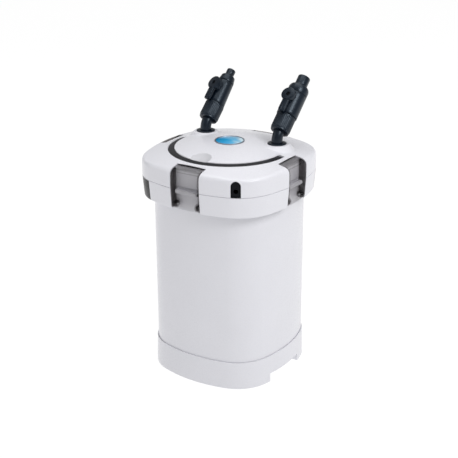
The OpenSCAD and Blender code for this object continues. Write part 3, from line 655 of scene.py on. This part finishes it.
def build_cover():
    wall = 2.4
    cover = head_solid("cover", 0.0, pads=True, fine=1.0, edge=0.45, centre_rings=90)
    cut(cover, head_solid("cavity", 2.6, 280.0))
    core = head_solid("core", 1.0)
    walls = each_side("wall", box("wall", (-BLOCK_HALF, FAR_Y, 280), (BLOCK_HALF, LIP_Y + 2.8, OVER_Z)))
    r0, r1 = GROOVE_IN - wall, GROOVE_OUT + wall
    channel = lathe("channel", [(r0, 316), (r1, 316), (r1, OVER_Z), (r0, OVER_Z)], 192, close=True)
    cut(channel, box("rear", (-120, 6.8, 290), (120, 120, 350)))
    for x, y in four_at(POST_AT):
        walls.append(place(lathe("post", [(5, 296.4), (5, 326)], 40), moved(x, y)))
    walls.append(arch_solid("housing", 2.2, 0.0, 44.0))
    walls.append(scoop_ball(wall))
    for part in walls + [channel]:
        within(part, core, keep=True)
        fuse(cover, part)
    bpy.data.objects.remove(core)
    cut(cover, *each_side("pocket", pocket_cutter(280, OVER_Z)))
    # the ledges under the clips' lips
    outside, inside = (clip_face(inset, POCKET_HALF, 0.6, 290.0) for inset in (0, 2.7))
    ledge = slab("ledge", outside + np.array([0, -4.0, 4.0]), inside)
    cut(cover, *each_side("ledge", ledge))
    groove = lathe("groove", [(GROOVE_IN, GROOVE_Z), (GROOVE_OUT, GROOVE_Z), (GROOVE_OUT, 324.7),
                              (GROOVE_OUT + 1.1, 327.2), (GROOVE_OUT + 4, OVER_Z), (GROOVE_IN - 4, OVER_Z),
                              (GROOVE_IN - 0.35, 327.5), (GROOVE_IN, 326.5)], 256, close=True)
    cut(groove, box("rear", (-120, 4.4, 290), (120, 120, 350)))
    cut(cover, groove)
    for s in (-1, 1):
        cut(cover, pivot_rod("pin_hole", PRESS_R, s, GROOVE_IN - 1.9, GROOVE_OUT + 1.9))
        bore = lathe("bore", [(ELBOW_R + 0.4, 300), (ELBOW_R + 0.4, 332.9), (ELBOW_R + 1.2, 333.7),
                              (ELBOW_R + 1.2, OVER_Z)], 64)
        cut(cover, place(bore, moved(s * PIPE_X, PIPE_Y)))
    cut(cover, scoop_ball(0.0))
    cut(cover, arch_solid("arch", 0.1, -5.0, 46.0))
    cut(cover, place(lathe("cord_way", [(5.1, -4), (5.1, 6)], 48), arch_matrix(44.0, CORD_Z)))
    finish_piece(cover, "cover", WHITE, "white_plastic", "canister", "head_cover", sharp=30)
    # the scoop's faces take the darker white: painted shade in the hollow
    cover.data.materials.append(SCOOP_SHADED)
    middles = np.array([p.center[:] for p in cover.data.polygons]) / MM
    painted_scoop_shade = np.abs(np.linalg.norm(middles - np.array(SCOOP_AT), axis=1) - SCOOP_R) < 0.12
    cover.data.polygons.foreach_set("material_index", painted_scoop_shade.astype(np.int32))


# ------------ cord gland
ARCH_W, ARCH_H = 13.5, 22.6
ARCH_TURN = math.radians(-61.3)


def arch_loop(grow, low):
    w = ARCH_W / 2 + grow
    up = ARCH_H - ARCH_W / 2
    return [(-w, low), (w, low)] + arc(0, up, w, 0, 180, 33)


def arch_matrix(depth, z):
    """Local x across the arch, local y up, local z outwards."""
    out = Vector((math.cos(ARCH_TURN), math.sin(ARCH_TURN), 0))
    across = Vector((-out.y, out.x, 0))
    base = Vector((CORNER_ARC * HEAD[1], -CORNER_ARC * HEAD[1], z)) + out * depth
    m = Matrix.Identity(4)
    for i, axis in enumerate((across, Vector((0, 0, 1)), out)):
        m[0][i], m[1][i], m[2][i] = axis
    m[0][3], m[1][3], m[2][3] = base
    return m


def arch_solid(name, grow, low, depth, length=30.0):
    return place(prism(name, arch_loop(grow, low), 0, length), arch_matrix(depth, COVER_Z))


def build_gland():
    at_cord = arch_matrix(44.5, CORD_Z)
    gland = arch_solid("gland", 0.0, 0.1, 47.5)
    within(gland, form("limit", HEAD, [(-0.8, 280), (-0.8, 320)]))
    face = arch_solid("face", -1.5, 1.6, 61.0, 10)
    cut(face, form("recess_floor", HEAD, [(-1.6, 280), (-1.6, 320)]))
    cut(gland, face)
    fuse(gland, place(lathe("stub", [(4.4, 0), (5.0, 0.6), (5.0, 5)], 48), at_cord))
    cut(gland, place(lathe("bore", [(3.3, -20), (3.3, 40)], 48), at_cord))
    finish_piece(gland, "gland", BLACK_DEEP, "black_plastic", "canister", "cord_gland")


# ------------ badge
LENS_R, LENS_RISE, LENS_EDGE = 19.2, 2.3, 0.9


def build_badge():
    profile = [(19.3, 0), (21, 0), (21, 0.5)] + arc(20.15, 0.65, 0.85, 0, 180, 11) + [(19.3, 0.5)]
    bezel = lathe("bezel", profile, 128, close=True)
    place(bezel, moved(0, 0, TOP_Z))
    finish_piece(bezel, "badge_rim", DARK_STEEL, "steel", "canister", "badge_bezel")
    r = (LENS_R ** 2 + LENS_RISE ** 2) / (2 * LENS_RISE)
    profile = [(0, 0), (LENS_R, 0), (LENS_R, LENS_EDGE)]
    profile += [(q, LENS_EDGE + math.sqrt(r * r - q * q) - (r - LENS_RISE)) for q in np.linspace(19.1, 0, 24)]
    lens = place(lathe("lens", profile, 128), moved(0, 0, TOP_Z))
    finish_piece(lens, "badge_dome", BLUE, "blue_lens", "canister", "badge_lens")


def blue_material():
    """Blue enamel under clear resin, in soft waves; its change from deep blue at the left front to pale at
    the right rear is painted shade and painted highlight.
    """
    material = bpy.data.materials.new("blue_enamel_painted_light")
    tree, shader = nodes_of(material)
    where = tree.nodes.new("ShaderNodeTexCoord")
    mapping = tree.nodes.new("ShaderNodeMapping")
    mapping.inputs["Rotation"].default_value = (0, 0, math.radians(-28))
    mapping.inputs["Scale"].default_value = (25, 25, 25)
    mapping.inputs["Location"].default_value = (0.5, 0.5, 0)
    tree.links.new(where.outputs["Object"], mapping.inputs["Vector"])
    split = tree.nodes.new("ShaderNodeSeparateXYZ")
    tree.links.new(mapping.outputs["Vector"], split.inputs["Vector"])
    wave = tree.nodes.new("ShaderNodeTexNoise")
    wave.inputs["Scale"].default_value = 1.6
    wave.inputs["Detail"].default_value = 2.0
    wave.inputs["Distortion"].default_value = 0.8
    tree.links.new(mapping.outputs["Vector"], wave.inputs["Vector"])
    mix = tree.nodes.new("ShaderNodeMath")
    mix.operation = "MULTIPLY_ADD"
    mix.inputs[1].default_value = 0.75
    tree.links.new(wave.outputs["Fac"], mix.inputs[0])
    tree.links.new(split.outputs["X"], mix.inputs[2])
    scale = tree.nodes.new("ShaderNodeMapRange")
    scale.inputs["From Min"].default_value, scale.inputs["From Max"].default_value = 0.45, 1.35
    tree.links.new(mix.outputs["Value"], scale.inputs["Value"])
    # deep blue at the left front to pale at the right rear: painted shade and painted highlight for the light
    # from the right
    colour = ramp(tree, scale.outputs["Result"], [
        (0.0, (0.008, 0.29, 0.58)), (0.4, (0.012, 0.34, 0.66)), (0.62, (0.05, 0.39, 0.67)),
        (0.80, (0.24, 0.50, 0.68)), (1.0, (0.55, 0.74, 0.84)),
    ])
    tree.links.new(colour, shader.inputs["Base Color"])
    rough = noise(tree, 700, 2.0)
    tree.links.new(spread(tree, rough, 0.10, 0.18), shader.inputs["Roughness"])
    bump(tree, shader, rough, 0.1, 0.01)
    shader.inputs["Coat Weight"].default_value = 0.6
    shader.inputs["Coat Roughness"].default_value = 0.04
    return material


BLUE = blue_material()


# ------------ clips
CHEEK_IN, CHEEK_OUT = 2.6, 0.25  # the cheek's two faces, measured in from the clip's side
KNUCKLE_R, CHEEK_R = 5.0, 4.9  # round the hinge pin
INNER_HALF = CLIP_HALF - 1.2  # half width of the painted-shade sheet and beads
SHADE_SHEET_ROW, SHADE_SHEET_DEPTHS = 29, (0.9, 1.2)  # a sheet of denser smoke, painted shade for the lip, lies inside the lip from this row of the clip's face on
SHADE_BEADS = ((25, 0.55), (-3, 0.75))  # row and radius of the dark beads, painted shade lines in the fold and along the lip's end


def cross_rod(name, r, side, reach, yz, n, chamfer=0.0):
    """A rod along X on one side of the clip, at a place (y, z)."""
    x0, x1 = sorted(side * x for x in reach)
    return rod(name, r, (x0, *yz), (x1, *yz), n, chamfer)


def cheek_outline():
    """The cheek in (y, z): up inside the clip's plate, back down behind it and round the hinge."""
    middle = clip_face(CLIP_T / 2, CLIP_HALF)[:, FACE_COLUMNS // 2, 1:]
    path = [tuple(p) for p in middle if p[0] < -100.9]
    inner = HINGE_Y + CHEEK_R
    loop = [(HINGE_Y, CLIP_Z + 0.3), (path[0][0], CLIP_Z + 0.2)] + path[1:] + [(inner, path[-1][1] + 0.4)]
    return loop + arc(HINGE_Y, HINGE_Z, CHEEK_R, 0, -90, 9)


def cheek_solid(side):
    """One cheek with its knuckle and its pip."""
    x0, x1 = sorted((side * (CLIP_HALF - CHEEK_IN), side * (CLIP_HALF - CHEEK_OUT)))
    cheek = prism("cheek", [(-y, z) for y, z in cheek_outline()], x0, x1)
    place(cheek, Matrix(((0, 0, 1, 0), (-1, 0, 0, 0), (0, 1, 0, 0), (0, 0, 0, 1))))
    soften(cheek, 0.3)
    fuse(cheek, cross_rod("knuckle", KNUCKLE_R, side, (15.0, 21.9), (HINGE_Y, HINGE_Z), 48, 0.4))
    fuse(cheek, cross_rod("pip", 1.3, side, (19.4, 21.9), (-107, 291.5), 24, 0.3))
    return cheek


def shade_bead(points, r):
    """A thin rod along a row of points; in the clip it is a painted shade line."""
    a = np.arange(12) * math.pi / 6
    return skin("shade_bead", [np.stack([np.full(12, x), y + r * np.cos(a), z + r * np.sin(a)], 1)
                         for x, y, z in points])


def clip_solid():
    """The front clip as one object, and how many of its faces, the first ones, are the plate's."""
    clip = slab("clip", clip_face(0, CLIP_HALF), clip_face(CLIP_T, CLIP_HALF))
    soften(clip, 0.45, 3, 45)
    inner = []
    for side in (-1, 1):
        cheek = cheek_solid(side)
        hole = cross_rod("pin_hole", TURN_R, side, (10.0, 24.0), (HINGE_Y, HINGE_Z), 32)
        cut(cheek, hole, keep=True)
        cut(clip, hole)
        inner.append(cheek)
    # a thin sheet inside the lip in the denser smoke: painted shade that darkens the lip
    upper, lower = (clip_face(depth, INNER_HALF)[SHADE_SHEET_ROW:-1] for depth in SHADE_SHEET_DEPTHS)
    inner.append(slab("tint", upper, lower))
    middle = clip_face(CLIP_T / 2, INNER_HALF)
    # dark beads inside the plate: painted shade lines at the fold and the lip's end
    inner += [shade_bead(middle[row], r) for row, r in SHADE_BEADS]
    plate_faces = len(clip.data.polygons)
    return join("clip", [clip] + inner), plate_faces


def build_clips():
    for name, turn in (("front", 0), ("right", 90), ("rear", 180), ("left", 270)):
        clip, plate_faces = clip_solid()
        place(clip, spun(math.radians(turn)))
        finish_piece(clip, f"clip_{name}_shell", SMOKE, "smoke_plastic", f"{name}_clip", f"clip_{name}",
                     sharp=35)
        clip.data.materials.append(SMOKE_SHADED)  # light takes a longer way through the cheeks; their denser dye adds painted shade for the dark edges, and the lip's sheet and the beads take it too as painted shade
        painted_shade_faces = np.arange(len(clip.data.polygons)) >= plate_faces
        clip.data.polygons.foreach_set("material_index", painted_shade_faces.astype(np.int32))


def build_hinge_pins():
    pins = [cross_rod("pin", PIN_R, side, (14.6, 25.4), (HINGE_Y, HINGE_Z), 32, 0.2) for side in (-1, 1)]
    pair = join("pins", pins)
    finish_piece(join("hinge_pins", each_side("pins", pair)), "hinge_pins", STEEL, "steel", "canister",
                 "clip_hinge_pins")


# ------------ handle
BAIL_CORNER, BAIL_DROP = 0.8, 0.6  # edge radius, and how far the bail's top lies under the head's


def bail_section(beyond):
    """The bail's outline in (radius, z), at a distance beyond the pins towards its rounded ends."""
    k = math.sqrt(max(0.0, 1 - (beyond / BAIL_END) ** 2))
    z_in = float(dome(BAIL_IN, 0)) - BAIL_DROP
    z_out = float(dome(BAIL_OUT, 0)) - BAIL_DROP
    low = BAIL_Z - BAIL_END * max(k, 0.08)
    if beyond:
        z_in = min(z_in, BAIL_Z + (z_in - BAIL_Z) * max(k, 0.08))
        z_out = min(z_out, BAIL_Z + (z_out - BAIL_Z) * max(k, 0.08))
    r = min(BAIL_CORNER, (z_out - low) * 0.3)
    loop = []
    for x, z, start in ((BAIL_OUT - r, low + r, -90), (BAIL_OUT - r, z_out - r, 0),
                        (BAIL_IN + r, z_in - r, 90), (BAIL_IN + r, low + r, 180)):
        loop += arc(x, z, r, start, start + 90, 5)
    return loop


def build_handle():
    ends = [BAIL_END * math.sin(t) for t in np.linspace(0, math.pi / 2, 9)[1:]]
    stations = [((-1.0, 0, 0), e) for e in reversed(ends)]
    stations += [((math.cos(a), math.sin(a), 0), 0.0) for a in np.linspace(math.pi, 2 * math.pi, 145)]
    stations += [((1.0, 0, 0), e) for e in ends]
    rings = []
    for out, beyond in stations:
        rings.append([np.array(out) * r + np.array([0, beyond, z]) for r, z in bail_section(beyond)])
    handle = skin("bail", rings)
    for s in (-1, 1):
        cut(handle, pivot_rod("pin_hole", TURN_R, s, BAIL_IN - 2, BAIL_OUT + 2))
    finish_piece(handle, "bail_handle", HANDLE, "black_plastic", "bail", "handle")
    pins = [pivot_rod("pin", PIN_R, s, GROOVE_IN - 1.7, GROOVE_OUT + 1.7, 0.2) for s in (-1, 1)]
    finish_piece(join("bail_pins", pins), "bail_pins", STEEL, "steel", "canister", "handle_pivot_pins")


# ------------ elbows and taps
BEND_T = BEND_R * math.tan(TILT / 2)


def at_pipe(side):
    return moved(side * PIPE_X, PIPE_Y) @ spun(-YAW)


def along(side):
    return at_pipe(side) @ moved(0, 0, BEND_Z) @ Matrix.Rotation(-TILT, 4, "X")


def at_tap(side):
    turn = spun(-OUTLET_ROLL) if side < 0 else Matrix.Identity(4)
    return along(side) @ moved(0, 0, TAP_W) @ turn @ Matrix.Rotation(math.pi / 2, 4, "X")


def hoop(centre, direction, r):
    """A circle of 56 points about a centre, square to a direction that has no X."""
    across = Vector((1, 0, 0))
    along_it = direction.cross(across)
    a = np.linspace(0, 2 * math.pi, 56, endpoint=False)
    return [centre + across * (r * math.cos(t)) + along_it * (r * math.sin(t)) for t in a]


def build_elbow(side, name, body):
    up, bent = Vector((0, 0, 1)), Vector((0, math.sin(TILT), math.cos(TILT)))
    z_bend, bend_steps = BEND_Z - BEND_T, 12
    plug = [(298, 9.4), (298.6, 10), (303.1, 10), (303.1, 9.0), (304.9, 9.0), (304.9, 10), (311.1, 10),
            (311.1, 9.0), (312.9, 9.0), (312.9, 10), (321.6, 10), (322, 9.6), (322, ELBOW_R)]
    collar = [(9.4, ELBOW_R), (10.0, ELBOW_R), (10.0, 10.0), (10.4, 10.4), (12.6, 10.4), (13.0, 10.0)]
    line = [(Vector((0, 0, z)), up, r) for z, r in plug + [(z_bend, ELBOW_R)]]  # centre, direction, radius
    for t in np.linspace(0, TILT, bend_steps + 1)[1:]:
        line.append((Vector((0, BEND_R - BEND_R * math.cos(t), z_bend + BEND_R * math.sin(t))),
                     Vector((0, math.sin(t), math.cos(t))), ELBOW_R))
    line += [(Vector((0, 0, BEND_Z)) + bent * w, bent, r) for w, r in collar]
    way = [line[0]] + line[len(plug):len(plug) + bend_steps + 1] + [line[-1]]
    outer = [hoop(centre, direction, r) for centre, direction, r in line]
    inner = [hoop(centre, direction, ELBOW_BORE) for centre, direction, r in way]
    elbow = place(skin(name, outer + inner[::-1], close=True), at_pipe(side))
    finish_piece(elbow, f"{name}_elbow_pipe", BLACK, "black_plastic", body, f"{name}_elbow", sharp=35)


def build_nut(side, name, body):
    r, h = NUT_R, NUT_TO - NUT_FROM
    wave = np.array([0.0, -0.1, -0.24, -0.3, -0.24, -0.1] * 44)  # depth round the nut, one rib after another
    n = len(wave)
    a = np.arange(n) * 2 * math.pi / n

    def loop(radius, z, ribbed=0.0):
        rr = radius + wave * ribbed
        return np.stack([rr * np.cos(a), rr * np.sin(a), np.full(n, z)], 1)

    rings = [loop(8.4, 0), loop(r - 1.9, 0), loop(r - 1.2, 0.25), loop(r - 0.7, 0.9), loop(r - 0.7, 2.5),
             loop(r - 0.15, 3.1), loop(r, 3.5, 0.4), loop(r, 4.2, 1), loop(r, h - 2.6, 1),
             loop(r, h - 1.8, 0.4), loop(r, h - 1.4), loop(r, h - 0.6), loop(r - 0.2, h - 0.15),
             loop(r - 0.6, h), loop(11.1, h), loop(10.9, h - 0.4), loop(10.9, 2.4), loop(8.4, 2.4)]
    nut = skin(name, rings, close=True)
    place(nut, along(side) @ moved(0, 0, NUT_FROM))
    finish_piece(nut, f"{name}_nut", BLACK, "black_plastic", body, f"{name}_union_nut", sharp=32)


def tap_size(side):
    """Radius of the tap's body at its lower end, place of its upper end, and the radius there."""
    return (15.0, 68.4, 14.8) if side > 0 else (13.6, 70.0, 11.9)


TAP_BORE, THREAD_R = 5.4, 10.4


def build_tap(side, name, body):
    r, end, r_end = tap_size(side)
    low = BODY_FROM
    profile = [(TAP_BORE, 13.1), (THREAD_R - 0.4, 13.1), (THREAD_R, 13.5)]
    for z in np.arange(15.5, 30.0, 2.2):  # thread inside the nut
        profile += [(THREAD_R, z), (9.9, z + 0.6), (9.9, z + 1.0), (THREAD_R, z + 1.6)]
    profile += [(THREAD_R, low), (r - 0.9, low), (r - 0.3, low + 0.2), (r, low + 0.7)]
    profile += [(r + (r_end - r) * t, low + 0.7 + (end - 1.3 - low) * t) for t in np.linspace(0.1, 1, 10)]
    profile += [(r_end - 0.2, end - 0.15), (r_end - 0.6, end), (9.0, end), (9.0, TAP_W),
                (TAP_BORE, TAP_W - 6)]
    tube = place(lathe("tap", profile, 96, close=True), along(side))
    boss = lathe("boss", [(8.9, 9.0), (8.9, 12.2), (8.5, 13.0), (8.2, 13.6), (8.2, 15.0), (7.9, 15.3)], 72)
    place(boss, at_tap(side))
    cut(boss, place(lathe("inner", [(10.6, TAP_W - 11), (10.6, TAP_W + 10.4)], 64), along(side)))
    fuse(tube, boss)
    cut(tube, place(lathe("stem_hole", [(3.08, 0), (3.08, 20)], 40), at_tap(side)))
    finish_piece(tube, f"{name}_tap_housing", BLACK, "black_plastic", body, f"{name}_tap_body", sharp=35)


def build_lever(side, name, tap):
    """A round hub and a stepped blade that reaches over the nut."""
    z0, z1 = LEVER_H - 5.1, LEVER_H
    hub = lathe("lever", [(HUB_R - 0.5, z0), (HUB_R, z0 + 0.5), (HUB_R, z1 - 0.7), (HUB_R - 0.2, z1 - 0.2),
                          (HUB_R - 0.7, z1)], 96)
    left = [(-4.7, -5), (-4.9, -10), (-5.0, -24.5), (-4.2, -26.9), (-3.4, -27.4)]
    blade = prism("blade", left + [(-x, y) for x, y in reversed(left)], z0, z1 - 0.5)
    fuse(hub, soften(blade, 0.7, 3))
    rib = prism("rib", [(-1.6, -8.2), (-1.6, -25.2), (1.6, -25.2), (1.6, -8.2)], z1 - 1.1, z1 + 5)
    cut(hub, soften(rib, 0.5))
    cut(hub, lathe("recess", [(1.3, z0 - 3), (1.3, z1 - 2.6), (3.0, z1 - 2.6), (3.0, z1 - 0.4),
                              (3.4, z1 + 0.1), (3.4, z1 + 4)], 48))
    cut(hub, lathe("stem", [(3.02, z0 - 4), (3.02, 17.5)], 48))
    place(hub, at_tap(side))
    finish_piece(hub, f"{name}_lever", BLACK, "black_plastic", tap, f"{name}_tap_lever", sharp=35)


def build_lever_screw(side, name, tap):
    screw = lathe("screw", [(0.0, 13), (0.9, 13), (1.0, 13.2), (1.0, LEVER_H - 2.5), (2.6, LEVER_H - 2.5),
                            (2.6, LEVER_H - 1.5), (2.2, LEVER_H - 1.15), (0.0, LEVER_H - 1.1)], 40)
    for t in (0, math.pi / 2):
        slot = box("slot", (-1.6, -0.35, LEVER_H - 1.9), (1.6, 0.35, LEVER_H))
        cut(screw, place(slot, spun(t)))
    place(screw, at_tap(side))
    finish_piece(screw, f"{name}_lever_screw_head", BLACK_DEEP, "black_plastic", tap, f"{name}_lever_screw")


def build_tail(side, name, body):
    end, r = tap_size(side)[1:]
    z0 = end + 0.3
    if side > 0:
        tail_r, bore_r, tip = 9.0, 6.4, 98.0
        shoulder = [(0, 77), (-0.25, 78), (-0.65, 79), (-1.1, 80.2), (-1.45, 80.8), (-1.95, 81.3),
                    (-3.3, 81.9)]
    else:
        tail_r, bore_r, tip = 6.4, 4.4, 92.5
        shoulder = [(-0.3, 73.5), (-0.9, 75.8), (-1.2, 77.4), (-1.5, 79.5), (-1.75, 80.4), (-2.3, 81.0),
                    (-3.5, 81.9)]
    profile = [(bore_r, z0), (r - 0.5, z0), (r - 0.15, z0 + 0.15), (r, z0 + 0.5)]
    profile += [(r + d, z) for d, z in shoulder]
    profile += [(tail_r + 0.8, 82.8), (tail_r + 0.3, 83.3), (tail_r, 84.1), (tail_r, 85.0),
                (tail_r, tip - 1.1), (tail_r - 0.25, tip - 0.45), (tail_r - 0.7, tip - 0.05),
                (tail_r - 1.0, tip), (bore_r + 0.4, tip), (bore_r, tip - 0.4)]
    tail = place(lathe("tail", profile, 96, close=True), along(side))
    finish_piece(tail, f"{name}_tail", BLACK, "black_plastic", body, f"{name}_hose_tail", sharp=35)


def build_flange(side, name):
    r0 = ELBOW_R + 0.35
    profile = [(r0, 0), (13.2, 0), (13.5, 0.2), (13.5, 0.5), (13.1, 1.0), (11.5, 1.45), (10.2, 1.6),
               (r0 + 0.3, 1.6), (r0, 1.3)]
    ring_piece = lathe("flange", profile, 96, close=True)
    place(ring_piece, moved(side * PIPE_X, PIPE_Y, PAD_Z))
    finish_piece(ring_piece, f"{name}_escutcheon", BLACK, "black_plastic", "canister", f"{name}_flange")


def build_pipes():
    for side, name in ((1, "inlet"), (-1, "outlet")):
        body, tap = f"{name}_swivel", f"{name}_tap"
        build_elbow(side, name, body)
        build_nut(side, name, f"{name}_nut")
        build_tap(side, name, body)
        build_lever(side, name, tap)
        build_lever_screw(side, name, tap)
        build_tail(side, name, body)
        build_flange(side, name)


# ------------ pieces inside
def build_sponges():
    """Foam blocks, slightly crowned, with the way for the intake pipe."""
    for name, base, height, material, slot in (
        ("coarse_sponge", 26.3, 66.0, FOAM_BLUE, "coarse_foam"),
        ("fine_sponge", 178.3, 60.0, FOAM_WHITE, "fine_foam"),
    ):
        profile = [(-10.5, base), (-8.6, base + 0.8), (-7.8, base + 3)]
        profile += [(-7.7, base + 3 + (height - 6) * t) for t in np.linspace(0.1, 0.9, 6)]
        profile += [(-7.8, base + height - 3), (-8.6, base + height - 0.8), (-10.5, base + height)]
        block = form(name, TUB, profile, 0.5)
        way = lathe("way", [(14.6, base - 2), (14.6, base + height + 2)], 48)
        cut(block, place(way, moved(PIPE_X, PIPE_Y)))
        finish_piece(block, f"{name}_block", material, slot, "canister", name)


CARRIED = {
    "head_base": INNER, "volute_cover": INNER, "head_screws": STEEL, "volute_screws": STEEL,
    "main_seal": RUBBER, "inlet_elbow_seals": RUBBER, "outlet_elbow_seals": RUBBER, "shaft_bushes": RUBBER,
    "inlet_tap_ball": CERAMIC, "outlet_tap_ball": CERAMIC, "stator_core": IRON, "stator_coils": COPPER,
    "rotor_magnet": MAGNET, "impeller": IMPELLER, "rotor_shaft": CERAMIC, "intake_pipe": BLACK,
    "basket_lower": BASKET, "basket_middle": BASKET, "basket_upper": BASKET, "basket_lid": BASKET,
    "ceramic_rings": MEDIA,
}


def dress_carried():
    for name, material in CARRIED.items():
        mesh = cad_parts[name].data
        mesh.materials.clear()
        mesh.materials.append(material)


# ------------ stage, light and camera
FLOOR_HALF, FLOOR_DROP = 20000, 0.3  # wide enough for its edge not to show at low views
LIGHTS = (  # name, place, target, size and power, in metres and watts
    ("key", (1.49, -0.44, 1.68), (0, 0, 0.25), (0.8, 0.8), 18.5),
    ("fill", (-1.4, -1.2, 0.9), (0, 0, 0.2), (1.4, 1.4), 4),
    ("top", (0, 0.3, 1.9), (0, 0, 0.3), (1.6, 1.6), 15),
)


def build_stage():
    w = FLOOR_HALF
    floor = link("floor", [(-w, -w, 0), (w, -w, 0), (w, w, 0), (-w, w, 0)], [(0, 1, 2, 3)])
    place(floor, moved(0, 0, -FLOOR_DROP))
    material = bpy.data.materials.new("pale_floor")
    shader = nodes_of(material)[1]
    shader.inputs["Base Color"].default_value = (0.12, 0.12, 0.12, 1)
    shader.inputs["Roughness"].default_value = 0.9
    shader.inputs["Specular IOR Level"].default_value = 0.1
    shader.inputs["Emission Color"].default_value = (1, 1, 1, 1)
    shader.inputs["Emission Strength"].default_value = 0.93
    floor.data.materials.append(material)
    world = bpy.data.worlds.new("studio")
    scene.world = world
    world.use_nodes = True
    back = world.node_tree.nodes["Background"]
    back.inputs["Color"].default_value = (1, 1, 1, 1)
    back.inputs["Strength"].default_value = 0.4


def area_light(name, location, target, size, power):
    data = bpy.data.lights.new(name, "AREA")
    data.shape, data.size, data.size_y = "RECTANGLE", *size
    data.energy = power
    obj = bpy.data.objects.new(name, data)
    obj.location = location
    obj.rotation_mode = "QUATERNION"
    obj.rotation_quaternion = (Vector(target) - Vector(location)).to_track_quat("-Z", "Y")
    scene.collection.objects.link(obj)


def build_camera():
    """The camera that was fitted to the object's outlines, in metres."""
    azimuth, elevation, distance = math.radians(33.284), math.radians(21.721), 1.546876
    focus, lean = Vector((-0.001146, -0.000752, 0.201967)), math.radians(-0.236)
    back = Vector((math.sin(azimuth) * math.cos(elevation), -math.cos(azimuth) * math.cos(elevation),
                   math.sin(elevation)))
    data = bpy.data.cameras.new("camera")
    data.sensor_width, data.lens = 36.0, 84.15
    data.clip_start, data.clip_end = 0.05, 50
    camera = bpy.data.objects.new("camera", data)
    camera.rotation_mode = "QUATERNION"
    camera.location = focus + back * distance
    level = (-back).to_track_quat("-Z", "Y")
    camera.rotation_quaternion = level @ Matrix.Rotation(lean, 3, "Z").to_quaternion()
    scene.collection.objects.link(camera)
    scene.camera = camera


build_camera()
build_stage()
for light in LIGHTS:
    area_light(*light)
build_skirt()
build_feet()
build_tub()
build_collar()
build_cover()
build_gland()
build_badge()
build_clips()
build_hinge_pins()
build_handle()
build_pipes()
build_sponges()
dress_carried()
scene.view_settings.view_transform = "Standard"
